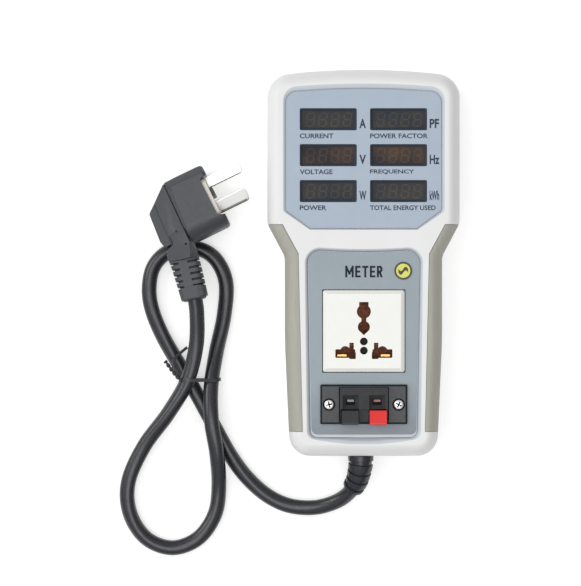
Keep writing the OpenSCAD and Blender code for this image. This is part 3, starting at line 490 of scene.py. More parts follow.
def loft(name, rings, matrix=None, capped=True):
    """A closed skin over rings of equally many 3-D points."""
    n = len(rings[0])
    points = [p for ring in rings for p in ring]
    faces = []
    for k in range(len(rings) - 1):
        for i in range(n):
            a, b = k * n + i, k * n + (i + 1) % n
            faces.append((a, b, b + n, a + n))
    if capped:
        faces.append(tuple(reversed(range(n))))
        faces.append(tuple(range((len(rings) - 1) * n, len(rings) * n)))
    return mesh_object(name, points, faces, matrix)


def ring(points, z):
    return [(p.x, p.y, z) for p in points]


def between(a, b, share):
    """The outline that lies a share of the way from outline a to outline b."""
    return [p.lerp(q, share) for p, q in zip(a, b)]


def frame_loop(name, corners, outer, inner, z0, z1, detail=1):
    """A closed band between two insets of one outline, from z0 to z1."""
    a, b = outline(corners, outer, detail), outline(corners, inner, detail)
    rings = [ring(a, z0), ring(a, z1), ring(b, z1), ring(b, z0)]
    return loft(name, rings + [rings[0]], capped=False)


def stack(name, corners, levels, detail=1, matrix=None):
    """A loft through one outline at levels (z, inset), from the bottom up."""
    return loft(name, [ring(outline(corners, inset, detail), z) for z, inset in levels], matrix)


def slab(name, corners, z0, z1, matrix=None):
    return stack(name, corners, [(z0, 0), (z1, 0)], 1, matrix)


def brick(name, x, y, z0, z1, w, h, r=0.3, matrix=None):
    """An upright box from z0 to z1, w by h in X and Y, with rounded corners."""
    return slab(name, box_corners(w, h, r, x, y, 3), z0, z1, matrix)


def lathe(name, profile, steps=48, matrix=None):
    """A turned part from (radius, z) pairs, bottom to top, about the Z axis."""
    rings = [[(r * math.cos(t), r * math.sin(t), z) for t in turns(steps)] for r, z in profile]
    return loft(name, rings, matrix)


def joined(objects, name):
    """One object from several, without merging their skins."""
    bm = bmesh.new()
    for o in objects:
        bm.from_mesh(o.data)
        bpy.data.objects.remove(o)
    mesh = bpy.data.meshes.new(name)
    bm.to_mesh(mesh)
    bm.free()
    return add_object(name, mesh)


def apply_modifiers(obj):
    graph = bpy.context.evaluated_depsgraph_get()
    final = obj.evaluated_get(graph)
    mesh = bpy.data.meshes.new_from_object(final, preserve_all_data_layers=True, depsgraph=graph)
    obj.modifiers.clear()
    obj.data = mesh


def combine(obj, others, operation):
    for other in others:
        m = obj.modifiers.new("combine", "BOOLEAN")
        m.operation = operation
        m.solver = "EXACT"
        m.object = other
    apply_modifiers(obj)
    for other in others:
        bpy.data.objects.remove(other)
    return obj


def carve(obj, *cutters):
    return combine(obj, list(cutters), "DIFFERENCE")


def soften(obj, width, segments=2, angle=35):
    """Rounds the edges sharper than angle."""
    m = obj.modifiers.new("soften", "BEVEL")
    m.width = width * MM
    m.segments = segments
    m.limit_method = "ANGLE"
    m.angle_limit = math.radians(angle)
    apply_modifiers(obj)
    return obj


# ---------------- case
# Width, height and steps of the face's rounded edge; radius and steps of the back's
EDGE_W, EDGE_H, EDGE_STEPS = 6.5, 10, 12
REAR_EDGE, REAR_STEPS = 4, 8
# The two shells meet in a shallow V of this depth
SEAM = 0.35
GRIP_T = 2
WALL = 2.5
WINDOW_W, WINDOW_H = 29.2, 11.3
WINDOW_R = 0.8
SCREW_PLACES = ((41, 80), (-41, 80), (29, -87), (-29, -87))
FOOT_PLACES = ((30, 84), (-30, 84), (24, -80), (-24, -80))
FOOT_R = 5
LABEL = box_corners(44, 40, 2, 0, 40)


def front_levels(shrink=0.0):
    """Levels of the front case, with an elliptical edge up to its face."""
    levels = [(SPLIT_Z, SEAM + shrink), (SPLIT_Z + SEAM, shrink)]
    for i in range(EDGE_STEPS + 1):
        t = quarter(i, EDGE_STEPS)
        levels.append((FACE_Z - shrink - EDGE_H + EDGE_H * math.sin(t), shrink + EDGE_W * (1 - math.cos(t))))
    return levels


def grip_zone(name, side, grow=0.0):
    """The space on one side of the case that holds its grip."""
    inner = [(x - grow, y + grow * s) for (x, y), s in zip(GRIP_EDGE, (1, 1, 0, -1))]
    outside = HALF_W + 10
    loop = [(outside, inner[0][1])] + inner + [(outside, inner[-1][1])]
    points = [Vector((side * x, y)) for x, y in loop]
    return loft(name, [ring(points, SPLIT_Z - 2), ring(points, FACE_Z + 2)])


def window_places():
    """The middle of each display window, from its read-out module."""
    return {key: tuple(middle(f"{key}_display", axis) for axis in (0, 1)) for key in WINDOWS}


def window_cutters(name, grow, z0, z1):
    size = (WINDOW_W + 2 * grow, WINDOW_H + 2 * grow, WINDOW_R)
    places = window_places().values()
    return joined([slab("window", box_corners(*size, x, y), z0, z1) for x, y in places], name)


def socket_cutter(z0, z1, gap):
    return brick("socket_hole", 0, SOCKET_Y, z0, z1, SOCKET_W + 2 * gap, SOCKET_W + 2 * gap)


def terminal_cutter(z0, z1):
    return brick("terminal_hole", 0, TERMINAL_Y, z0, z1, 25.6, 17.8)


def exit_cutter():
    """The hole in the case's lower end for the cord's strain relief."""
    start = shift(CORD[0][0], -HALF_L - 2, CORD[0][2])
    return lathe("exit_hole", [(5.2, 0), (5.2, 8)], 40, start @ spin(-90, "X"))


# The slopes of the two recesses: shares of the way out, with the rise there
OVERLAY_SLOPE = ((0, 0), (0.08, 0.35), (0.45, 0.72))
PANEL_DEPTH = FACE_Z - PANEL_Z
PANEL_SLOPE = ((0, -0.05), (0.04, -0.35), (0.25, PANEL_DEPTH * 0.35), (0.55, PANEL_DEPTH * 0.75))
SHEET_ROOM = 0.12


def overlay_recess():
    """The recess of the display overlay: a step round the sheet, then a slope up to the face."""
    seat, mouth = outline(OVERLAY, -SHEET_ROOM, 3), outline(MOUTH, 0, 3)
    slope = [ring(between(seat, mouth, share), OVERLAY_Z + rise) for share, rise in OVERLAY_SLOPE]
    return loft("overlay_recess", [*slope, ring(mouth, FACE_Z), ring(outline(MOUTH, -1, 3), FACE_Z + 1)])


def panel_recess():
    """The recess of the lower panel: a narrow ledge, then a hollow slope up to the face."""
    ledge, lip = outline(LEDGE, 0, 3), outline(LIP, 0, 3)
    seat = ring(outline(PANEL, -SHEET_ROOM, 3), PANEL_Z)
    slope = [ring(between(ledge, lip, share), PANEL_Z + rise) for share, rise in PANEL_SLOPE]
    return loft("panel_recess", [seat, *slope, ring(lip, FACE_Z), ring(outline(LIP, -1, 3), FACE_Z + 1)])


def grip_bed(z0):
    """What is left of the front case under the grips."""
    return stack("core", CASE, [(z0, GRIP_T), (FACE_Z - 4.5, GRIP_T)], 3)


def make_front_case():
    """The front shell, cut away under the grips, with both recesses and every opening.

    It is hollow in two steps, the upper one clear of its rounded edge.
    """
    case = stack("case_front", CASE, front_levels(), 3)
    core = grip_bed(SPLIT_Z)
    carve(case, grip_zone("zone_r", 1, 0.12), grip_zone("zone_l", -1, 0.12))
    combine(case, [core], "UNION")
    insets = ((GRIP_T + WALL, FACE_Z - 7), (EDGE_W + 2.9, FACE_Z - 3.5))
    inside, upper = (stack("inside", CASE, [(SPLIT_Z - 1, i), (top, i)], 2) for i, top in insets)
    carve(case, overlay_recess(), panel_recess(), inside, upper)
    carve(case, frame_loop("seam", OVERLAY, -0.1, 0.25, OVERLAY_Z - 0.12, OVERLAY_Z + 0.02, 3))
    low_z = FACE_Z - 6
    windows = window_cutters("window_holes", 0, low_z, FACE_Z)
    carve(case, windows, socket_cutter(low_z, FACE_Z, 0.4), terminal_cutter(low_z, FACE_Z), exit_cutter())
    place(case, "shell", slot="shell_white", replaces=("front_shell",))
    return paint_recess_shade(case)


def tint(obj, surface, chosen):
    """Gives the faces for which chosen(face) holds a surface of their own."""
    obj.data.materials.append(SURFACES[surface])
    for face in obj.data.polygons:
        if chosen(face):
            face.material_index = len(obj.data.materials) - 1
    return obj


def paint_recess_shade(case):
    """Paints the sloping walls of the two recesses: a painted reflection of the coloured sheets, with painted
    shade.
    """
    seat, mouth = outline(OVERLAY, 0.2), outline(MOUTH, -0.2)
    bed, lip = outline(PANEL, 0.2), outline(LIP, -0.2)
    # The recesses' flat beds have larger faces; the hollow below the panel gets a darker painted shade of its
    # own
    largest = 100 * MM * MM
    scoop_y, scoop_x = -89.3, 24

    def sloping(face):
        p = face.center / MM
        if not (PANEL_Z - 3 < p.z < FACE_Z - 0.02 and face.area < largest):
            return False
        in_overlay = inside_loop(p, mouth) and not inside_loop(p, seat)
        return in_overlay or (inside_loop(p, lip) and not inside_loop(p, bed))

    def scooped(face):
        p = face.center / MM
        return sloping(face) and p.y < scoop_y and abs(p.x) < scoop_x and p.z < FACE_Z - 0.6

    tint(case, "recess", sloping)
    return tint(case, "scoop_painted_shade", scooped)


def inside_loop(p, loop):
    """Whether p lies inside a closed outline, by counting crossings."""
    inside = False
    for a, b in zip(loop, loop[1:] + loop[:1]):
        if (a.y > p.y) != (b.y > p.y) and p.x < a.x + (p.y - a.y) / (b.y - a.y) * (b.x - a.x):
            inside = not inside
    return inside


def make_rear_case():
    """The rear shell: a tray with a round lower edge, and pockets for feet, screws and label."""
    levels = []
    for i in range(REAR_STEPS + 1):
        t = quarter(i, REAR_STEPS)
        levels.append((FLOOR_Z + REAR_EDGE * (1 - math.cos(t)), REAR_EDGE * (1 - math.sin(t))))
    levels += [(SPLIT_Z - SEAM, 0), (SPLIT_Z, SEAM)]
    case = stack("case_rear", CASE, levels, 3)
    rim = GRIP_T + WALL
    carve(case, stack("inside", CASE, [(FLOOR_Z + WALL, rim), (SPLIT_Z + 1, rim)], 2))
    below = FLOOR_Z - 1
    foot_pocket = [(FOOT_R + 0.3, below), (FOOT_R + 0.3, FLOOR_Z + 0.7)]
    screw_bore = [(3.1, below), (3, FLOOR_Z + 5.5)]
    pockets = [lathe("pocket", foot_pocket, 48, shift(x, y)) for x, y in FOOT_PLACES]
    pockets += [lathe("bore", screw_bore, 40, shift(x, y)) for x, y in SCREW_PLACES]
    pockets.append(slab("label_pocket", LABEL, below, FLOOR_Z + 0.3))
    carve(case, joined(pockets, "pockets"))
    carve(case, exit_cutter())
    return place(case, "shell", slot="shell_white", replaces=("rear_shell",))


def make_grip(side, word):
    """A soft grip: the case's own surface, cut out over the grip zone."""
    grip = stack(f"grip_{word}", CASE, front_levels(0.04), 3)
    zone = grip_zone("zone", side, -0.08)
    combine(grip, [zone], "INTERSECT")
    carve(grip, grip_bed(SPLIT_Z - 1))
    return place(grip, "grip", slot="grip_grey", replaces=(f"{word}_side_grip",))


make_front_case()
make_rear_case()
make_grip(-1, "left")
make_grip(1, "right")


# ---------------- display head
def make_overlay():
    levels = [(OVERLAY_Z, 0.3), (OVERLAY_TOP - 0.12, 0.3), (OVERLAY_TOP, 0.5)]
    sheet = stack("overlay_sheet", OVERLAY, levels, 3)
    carve(sheet, window_cutters("openings", 0.02, OVERLAY_Z - 1, FACE_Z))
    place(sheet, "overlay", slot="overlay_blue", replaces=("display_overlay",))


def make_bezels():
    """Dark sloping frames round the windows, from the overlay down to the panes."""
    top = OVERLAY_TOP - 0.08
    for key, (x, y) in window_places().items():
        corners = box_corners(WINDOW_W, WINDOW_H, WINDOW_R, x, y)
        levels = [(top - 1.1, 0.03), (top, 0.03), (top + 0.02, 0.25), (top - 0.95, 1.25), (top - 1.1, 1.3)]
        rings = [ring(outline(corners, inset), z) for z, inset in levels]
        bezel = loft(f"bezel_{key}", rings + [rings[0]], capped=False)
        place(bezel, "bezel", slot="lens_smoked", sharp=60)


def make_panes():
    panes = {"pane": [], "pane_painted_reflection": []}
    for key, (x, y) in window_places().items():
        corners = box_corners(WINDOW_W - 2, WINDOW_H - 2, 0.5, x, y)
        levels = [(MODULE_TOP + 0.4, 0), (OVERLAY_Z - 0.62, 0), (OVERLAY_Z - 0.56, 0.1)]
        # The middle row's panes take the browner painted reflection
        surface = "pane_painted_reflection" if key in ("voltage", "frequency") else "pane"
        panes[surface].append(stack(f"pane_{key}", corners, levels))
    for surface, parts in panes.items():
        place(joined(parts, f"window_{surface}s"), surface, slot="lens_smoked", replaces=("window_lens",))


# The ends of a digit's seven segments, in shares of its width and height
SEGMENTS = (
    ((0, 1), (1, 1)), ((1, 1), (1, 0.5)), ((1, 0.5), (1, 0)), ((0, 0), (1, 0)),
    ((0, 0), (0, 0.5)), ((0, 0.5), (0, 1)), ((0, 0.5), (1, 0.5)),
)
DIGITS = 4
DIGIT_W, DIGIT_H, DIGIT_STEP, DIGIT_SLANT = 3.6, 6.6, 6.3, 0.12
# Half the width of a segment, and the gap that it leaves at a corner
BAR, BAR_GAP = 0.42, 0.12


def segment_bar(a, b, z0, z1):
    """A six-sided bar between two corners of a digit."""
    d = (b - a).normalized()
    side = Vector((-d.y, d.x)) * BAR
    a = a + d * BAR_GAP
    b = b - d * BAR_GAP
    loop = [a, a + d * BAR - side, b - d * BAR - side, b, b - d * BAR + side, a + d * BAR + side]
    return loft("bar", [ring(loop, z0), ring(loop, z1)])


def make_digits():
    """The unlit segments of the read-outs."""
    z = MODULE_TOP + 0.02
    for key, (x, y) in window_places().items():
        bars = []
        for k in range(DIGITS):
            corner = Vector((x + (k - (DIGITS - 1) / 2) * DIGIT_STEP - DIGIT_W / 2, y - DIGIT_H / 2))
            for ends in SEGMENTS:
                a, b = (corner + Vector((u * DIGIT_W + DIGIT_SLANT * v * DIGIT_H, v * DIGIT_H))
                        for u, v in ends)
                bars.append(segment_bar(a, b, z, z + 0.1))
        place(joined(bars, f"digits_{key}"), "segment", slot="led_module")


def lettering(name, text, x0, x1, y0, y1, z, surface, bold=0.022):
    """Flat raised lettering that fills the given box, in Blender's own plain font."""
    curve = bpy.data.curves.new(name, "FONT")
    curve.body = text
    curve.offset = bold
    curve.extrude = 0.02
    curve.resolution_u = 4
    source = add_object(name + "_source", curve)
    graph = bpy.context.evaluated_depsgraph_get()
    mesh = bpy.data.meshes.new_from_object(source.evaluated_get(graph))
    bpy.data.objects.remove(source)
    xs = [v.co.x for v in mesh.vertices]
    ys = [v.co.y for v in mesh.vertices]
    kx = (x1 - x0) / (max(xs) - min(xs))
    ky = (y1 - y0) / (max(ys) - min(ys))
    for v in mesh.vertices:
        x = x0 + (v.co.x - min(xs)) * kx
        y = y0 + (v.co.y - min(ys)) * ky
        v.co = (x * MM, y * MM, (z + v.co.z) * MM)
    return place(add_object(name, mesh), surface, slot="overlay_blue")


# The width of each letter, and the pen's path in shares of its width and height
STROKES = {
    "M": (4.3, [(0, 0), (0, 1), (0.5, 0.3), (1, 1), (1, 0)]),
    "E": (2.8, [(1, 0), (0, 0), (0, 0.5), (0.85, 0.5), (0, 0.5), (0, 1), (1, 1)]),
    "T": (3.2, [(0, 1), (0.5, 1), (0.5, 0), (0.5, 1), (1, 1)]),
    "R": (2.8, [(0, 0), (0, 1), (0.7, 1), (1, 0.85), (1, 0.65), (0.7, 0.5), (0, 0.5), (0.45, 0.5), (1, 0)]),
}
# Half the width of the pen's stroke
STROKE = 0.5


def stroke_word(name, word, x0, x1, y0, y1, z, surface):
    """Bold plain capitals drawn with a broad pen, spread over the given box."""
    gap = (x1 - x0 - sum(STROKES[c][0] for c in word)) / (len(word) - 1)
    bars = []
    for letter in word:
        width, pen = STROKES[letter]
        corner = Vector((x0 + STROKE, y0 + STROKE))
        w, h = width - 2 * STROKE, y1 - y0 - 2 * STROKE
        spots = [corner + Vector((u * w, v * h)) for u, v in pen]
        for a, b in zip(spots, spots[1:]):
            along = (b - a).normalized() * STROKE
            side = Vector((-along.y, along.x))
            top = z + 0.02 + 0.001 * len(bars)
            loop = [a - along - side, b + along - side, b + along + side, a - along + side]
            bars.append(loft("bar", [ring(loop, z), ring(loop, top)]))
        x0 += width + gap
    return place(joined(bars, name), surface, slot="overlay_blue")


# What stands under and beside each window, with the width of both
CAPTIONS = {
    "current": ("CURRENT", 17.2, "A", 3.4),
    "voltage": ("VOLTAGE", 16.8, "V", 3.4),
    "power": ("POWER", 13.6, "W", 3.6),
    "power_factor": ("POWER FACTOR", 29.6, "PF", 4.8),
    "frequency": ("FREQUENCY", 22.6, "Hz", 5.0),
    "energy": ("TOTAL ENERGY USED", 33.6, "kWh", 4.9),
}
# Where a caption and a unit stand, measured up from the window's middle
CAPTION_LOW, CAPTION_HIGH = -9.8, -7.3
UNIT_LOW, UNIT_HIGH, UNIT_GAP = -4.6, 0.2, 1.3


def make_captions():
    z = OVERLAY_TOP + 0.01
    for key, (x, y) in window_places().items():
        words, width, unit, unit_w = CAPTIONS[key]
        left = x - WINDOW_W / 2
        right = x + WINDOW_W / 2 + UNIT_GAP
        lettering(f"caption_{key}", words, left, left + width, y + CAPTION_LOW, y + CAPTION_HIGH, z, "ink")
        lettering(f"unit_{key}", unit, right, right + unit_w, y + UNIT_LOW, y + UNIT_HIGH, z, "ink", 0.03)


make_overlay()
make_bezels()
make_panes()
make_digits()
make_captions()


# ---------------- lower panel
# Left, right, lower and upper limits of the word on the panel
WORD_BOX = (-9.5, 9.5, -7.2, -1.3)


def make_panel():
    sheet = stack("panel_sheet", PANEL, [(PANEL_Z, 0.05), (PANEL_TOP - 0.08, 0.05), (PANEL_TOP, 0.15)], 3)
    carve(sheet, socket_cutter(PANEL_Z - 1, FACE_Z, 0.45), terminal_cutter(PANEL_Z - 1, FACE_Z))
    place(sheet, "panel", slot="panel_grey", replaces=("lower_panel",))
    stroke_word("panel_word", "METER", *WORD_BOX, PANEL_TOP + 0.01, "ink_dark")


def make_badge():
    """A yellow disc in a dark rim, with one cycle of a wave on it."""
    node = "panel_badge"
    r = (high(node, 0) - low(node, 0)) / 2
    at = shift(middle(node, 0), middle(node, 1), PANEL_TOP)
    disc = lathe("badge_disc", [(r - 0.8, 0.01), (r - 0.8, 0.4), (r - 1, 0.46)], 64, at)
    place(disc, "badge_yellow", slot="badge_yellow", replaces=("panel_badge",))
    rim = [(r - 0.85, 0.0), (r, 0.0), (r, 0.38), (r - 0.15, 0.5), (r - 0.75, 0.5), (r - 0.85, 0.42)]
    rings = [[(q * math.cos(t), q * math.sin(t), z) for q, z in rim] for t in turns(64)]
    place(loft("badge_rim", rings + [rings[0]], at, capped=False), "badge_dark", slot="badge_yellow")
    half_w, half_h, half_stroke, steps = 2.5, 1.1, 0.95, 12
    shares = [i / steps - 1 for i in range(2 * steps + 1)]
    wave = [Vector((half_w * u, half_h * math.sin(math.pi * u), 0)) for u in shares]
    rise = Vector((0, half_stroke, 0))
    loop = [p + rise for p in wave] + [p - rise for p in reversed(wave)]
    place(loft("badge_wave", [ring(loop, 0.44), ring(loop, 0.5)], at), "badge_dark", slot="badge_yellow")


make_panel()
make_badge()


# ---------------- socket
# The openings of the poles, of the earth pin with the round below it, and the two small holes
POLE_X, POLE_Y = 9.5, -46.2
EARTH_TOP, EARTH_Y, DROP_Y = -19.8, -24.7, -32.6
SMALL_HOLES_Y = (-40, -44.7)


def hole(name, r, x, y, z0, z1):
    return lathe(name, [(r, z0), (r, z1)], 40, shift(x, y))


def socket_cutters():
    """The openings: one for each pole, made of a slot, a round and an upright, and the earth's."""
    z0, z1 = FACE_Z - 8, FACE_Z + 3
    cutters = []
    for side in SIDES:
        parts = [
            brick("pole_slot", side * POLE_X, POLE_Y, z0, z1, 10.2, 4.4, 0.5),
            hole("pole_round", 2.6, side * POLE_X, POLE_Y + 1.2, z0, z1),
            brick("pole_upright", side * 6.3, POLE_Y + 1.5, z0, z1, 2.3, 8, 0.25),
            brick("pole_lobe", side * 5.8, POLE_Y - 1, z0, z1, 3.4, 3.6, 0.5),
        ]
        cutters.append(combine(parts[0], parts[1:], "UNION"))
    drop_tip = [Vector(p) for p in ((-2.4, DROP_Y - 1.9), (0, DROP_Y - 4.2), (2.4, DROP_Y - 1.9))]
    earth = [
        brick("earth_slot", 0, (EARTH_Y + EARTH_TOP) / 2, z0, z1, 4.8, EARTH_TOP - EARTH_Y, 0.25),
        hole("earth_round", 3.6, 0, EARTH_Y, z0, z1),
        brick("earth_neck", 0, (EARTH_Y + DROP_Y) / 2, z0, z1, 2.6, EARTH_Y - DROP_Y, 0.1),
        hole("earth_drop", 3.1, 0, DROP_Y, z0, z1),
        loft("earth_tip", [ring(drop_tip, z0), ring(drop_tip, z1)]),
    ]
    cutters.append(combine(earth[0], earth[1:], "UNION"))
    cutters += [hole("small_hole", 2, 0, y, SOCKET_TOP - 4, z1) for y in SMALL_HOLES_Y]
    return cutters


def make_socket():
    corners = box_corners(SOCKET_W, SOCKET_W, 0.9, 0, SOCKET_Y)
    levels = [(PANEL_Z, 0.1), (SOCKET_TOP - 1.2, 0), (SOCKET_TOP - 1.1, 0.05), (SOCKET_TOP - 0.08, 1.75),
              (SOCKET_TOP, 2)]
    plate = stack("socket_plate", corners, levels, 2)
    carve(plate, *socket_cutters())
    soften(plate, 0.22, 3, 40)
    place(plate, "socket", slot="socket_white", replaces=("socket_face",), sharp=60)


def make_contact_glints():
    """The bent ends of the pole contacts in the openings' outer corners, coloured bright: a painted glint."""
    for side, pole in ((1, "live"), (-1, "neutral")):
        top = high(f"socket_{pole}_contact", 2)
        x = side * (POLE_X + 1.7)
        end = brick(f"contact_end_{pole}", x, POLE_Y - 1.1, top - 1.2, top + 0.6, 5, 1.4, 0.4)
        place(soften(end, 0.3, 2, 40), "brass_painted_glint", slot="contact_brass")


make_socket()
make_contact_glints()


# ---------------- push terminal
# Heights of the flange and block, then the levers, their hinges, the wire entries and the screws
FLANGE_Z = PANEL_TOP
FLANGE_T = 2.0
BLOCK_TOP = high("terminal_base", 2)
BLOCK_Y = TERMINAL_Y - 0.2
LEVER_X, LEVER_W = 7.2, 8.8
LEVER_ROOM = LEVER_W + 0.6
PIVOT_Y, PIVOT_Z = -76.8, 46.5
ENTRY_X, ENTRY_Y = 6.8, -71.3
SCREW_X, SCREW_Y = 17.8, -72.3
SCREW_HEAD_R = 2.5
FLANGE_SIZE = (44.5, 20.2, 0.5)
BLOCK_SIZE = (24.6, 17.6, 0.5)


def funnel(side):
    """The tapered mouth of one wire entry."""
    def loop(w, h, y):
        corners = ((-1, -1), (1, -1), (1, 1), (-1, 1))
        return [Vector((side * ENTRY_X + u * w / 2, y + v * h / 2)) for u, v in corners]
    levels = ((BLOCK_TOP + 0.5, 9.4, 9.2, -71.2), (BLOCK_TOP - 0.05, 8.2, 7.6, ENTRY_Y + 0.1),
              (BLOCK_TOP - 1.5, 4.4, 2.8, ENTRY_Y + 0.3), (BLOCK_TOP - 9, 4.4, 2.8, ENTRY_Y + 0.3))
    return loft("funnel", [ring(loop(w, h, y), z) for z, w, h, y in levels])


def make_terminal_flange():
    rim = FLANGE_Z + 1.35
    top = FLANGE_Z + FLANGE_T
    levels = [(FLANGE_Z, 0), (rim - 0.15, 0), (rim, 0.15), (rim, 0.75), (top - 0.15, 0.8), (top, 0.98)]
    flange = stack("terminal_flange", box_corners(*FLANGE_SIZE, 0, TERMINAL_Y), levels)
    seat = [(2.75, FLANGE_Z + 1.2), (3.2, FLANGE_Z + 1.9), (3.3, FLANGE_Z + 4)]
    cutters = [brick("block_hole", 0, BLOCK_Y, FLANGE_Z - 1, FLANGE_Z + 4, 25.6, 18)]
    for side in SIDES:
        cutters.append(lathe("screw_seat", seat, 40, shift(side * SCREW_X, SCREW_Y)))
        cutters.append(brick("lever_notch", side * LEVER_X, TERMINAL_Y - 9.8, FLANGE_Z + 1.4, FLANGE_Z + 4,
                             LEVER_ROOM, 3))
    carve(flange, *cutters)
    place(flange, "terminal", slot="terminal_black", replaces=("terminal_base",), sharp=50)
    # The flange's lower rim is tinted dark: painted shade, as in a gap
    return tint(flange, "gap", lambda face: face.center.z / MM < FLANGE_Z + 1.6)


def make_terminal_block():
    """The raised block: two funnels for the wires, and two bays that hold the levers."""
    block = brick("terminal_block", 0, BLOCK_Y, FLANGE_Z - 11.5, BLOCK_TOP, *BLOCK_SIZE)
    bay_top = PIVOT_Y + 2.2
    bay_low = TERMINAL_Y - 11.1
    bay_y, bay_l = (bay_low + bay_top) / 2, bay_top - bay_low
    over = BLOCK_TOP + 2
    cutters = [funnel(-1), funnel(1)]
    for side in SIDES:
        x = side * LEVER_X
        cutters.append(brick("lever_slot", x, bay_y, FLANGE_Z + 0.3, over, LEVER_ROOM, bay_l, 0.1))
        cutters.append(brick("lever_well", x, PIVOT_Y - 0.9, PIVOT_Z - 5.5, over, LEVER_ROOM, 6.2, 0.1))
    cutters.append(brick("step", 0, bay_y - 0.1, BLOCK_TOP - 1.3, over, 24, bay_l, 0.1))
    carve(block, *cutters)
    soften(block, 0.22, 2, 40)
    return place(block, "terminal_dark", slot="terminal_black", replaces=("terminal_base",), sharp=50)


def make_contact_tongues():
    """The bright spring strips that show at the bottom of the two wire entries; the red side's is a darkened
    lever red, painted shade.
    """
    for side, colour, surface in ((1, "red", "tongue_red_shaded"), (-1, "black", "tongue")):
        node = f"{colour}_terminal_contact"
        low_z = high(node, 2) - 1
        strip = brick(node + "_tongue", side * ENTRY_X, ENTRY_Y + 1, low_z, BLOCK_TOP - 1.6, 3.4, 1.1, 0.1)
        place(strip, surface, slot="spring_steel")


# A lever's side outline from its pivot: y, z, corner radius
LEVER_SIDE = [
    (1.6, 0.7, 0.3), (1.6, 3.1, 0.6), (-5.2, 5.5, 0.7), (-5.7, 4.9, 0.5), (-5.4, 2.1, 0.5),
    (-1, -0.3, 0.4), (-1.2, -4.4, 0.3), (0.6, -4.4, 0.3), (1, -0.3, 0.3),
]


def make_lever(side, colour):
    """A lever's cap: its side outline swept over its width, with softened ends and its hinge pin."""
    corners = [(y, z, r, 3) for y, z, r in reversed(LEVER_SIDE)]
    at = shift(side * LEVER_X, PIVOT_Y, PIVOT_Z) @ LAY_ALONG
    half = LEVER_W / 2
    near_end = [(half, 0.35), (half - 0.12, 0.1), (half - 0.4, 0)]
    levels = [(-x, inset) for x, inset in near_end] + near_end[::-1]
    cap = stack(f"lever_cap_{colour}", corners, levels, 1, at)
    pin = lathe("pin", [(1, -half - 0.2), (1, half + 0.2)], 24, at)
    combine(cap, [pin], "UNION")
    node, surface = f"{colour}_lever", f"lever_{colour}"
    place(cap, surface, body=node, slot=surface, replaces=(node,), sharp=45)


def make_screw(name, x, y, turn, head_r, z0):
    """A domed cross-head screw's head."""
    profile = [(head_r * 0.6, z0 - 2), (head_r * 0.6, z0), (head_r, z0), (head_r, z0 + 0.35)]
    for i in range(1, 7):
        t = quarter(i, 7)
        profile.append((head_r * math.cos(t) ** 0.8, z0 + 0.35 + 0.95 * math.sin(t)))
    at = shift(x, y) @ spin(turn)
    head = lathe(name, profile, 48, at)
    arms = [brick("arm", 0, 0, z0 + 0.1, z0 + 3, w, h, 0.12, at) for w, h in ((3.1, 0.85), (0.85, 3.1))]
    return carve(head, *arms)


def make_slot_floor(x, y, turn, z0):
    """The dark cross at the bottom of a screw's slots: painted shade."""
    at = shift(x, y) @ spin(turn)
    arms = ((3, 0.8, 0.5), (0.8, 3, 0.52))
    return joined([brick("arm", 0, 0, z0, z0 + t, w, h, 0.05, at) for w, h, t in arms], "floor")


def make_terminal_screws():
    spots = [(side * SCREW_X, SCREW_Y, 40 + 25 * side) for side in SIDES]
    made = {"slot": "screw_steel", "replaces": ("terminal_screws",)}
    heads = [make_screw("head", *spot, SCREW_HEAD_R, FLANGE_Z + 1.6) for spot in spots]
    place(joined(heads, "terminal_screw_heads"), "steel", **made)
    floors = [make_slot_floor(*spot, FLANGE_Z + 1.7) for spot in spots]
    place(joined(floors, "terminal_screw_slots"), "gap", **made)


make_terminal_flange()
make_terminal_block()
make_contact_tongues()
make_lever(1, "red")
make_lever(-1, "black")
make_terminal_screws()


# ---------------- cord
def smooth_route(points, steps=8):
    """A Catmull-Rom curve through the points."""
    p = [Vector(q) for q in points]
    p = [p[0] * 2 - p[1]] + p + [p[-1] * 2 - p[-2]]
    out = []
    for i in range(1, len(p) - 2):
        for k in range(steps):
            t = k / steps
            out.append(0.5 * (2 * p[i] + (p[i + 1] - p[i - 1]) * t
                              + (2 * p[i - 1] - 5 * p[i] + 4 * p[i + 1] - p[i + 2]) * t * t
                              + (3 * p[i] - p[i - 1] - 3 * p[i + 1] + p[i + 2]) * t ** 3))
    out.append(p[-2])
    return out


def route_length(points):
    return sum((b - a).length for a, b in zip(points, points[1:]))


def sweep(name, path, section, matrix=None):
    """A skin along a path, section(share) giving the loop of (across, up) at that share of the length."""
    total = route_length(path)
    run = 0.0
    rings = []
    up = Vector((0, 0, 1))
    for i, p in enumerate(path):
        run += (p - path[i - 1]).length if i else 0.0
        along = (path[min(i + 1, len(path) - 1)] - path[max(i - 1, 0)]).normalized()
        across = along.cross(up).normalized()
        lift = across.cross(along).normalized()
        rings.append([tuple(p + across * u + lift * v) for u, v in section(run / total)])
    return loft(name, rings, matrix)


def circle(r, steps=32):
    return [(r * math.cos(t), r * math.sin(t)) for t in turns(steps)]


def rounded_section(w, h, power=0.55, steps=40):
    """A rounded rectangle of half width w and half height h, as a superellipse."""
    out = []
    for t in turns(steps):
        c, s = math.cos(t), math.sin(t)
        out.append((w * math.copysign(abs(c) ** power, c), h * math.copysign(abs(s) ** power, s)))
    return out


# Length of the cores' twist, and how far they stand out as a share of the radius
TWIST_LENGTH = 70
CORE_BULGE = 0.035
# The strain relief's radius, its grooves' places along it, and the share of its route that it covers
BOOT_R, BOOT_TAPER = 6.7, 1
BOOT_GROOVES = (0.2, 0.43, 0.66, 0.88)
GROOVE_HALF, GROOVE_DEPTH = 0.04, 0.75
BOOT_SHARE = 0.87


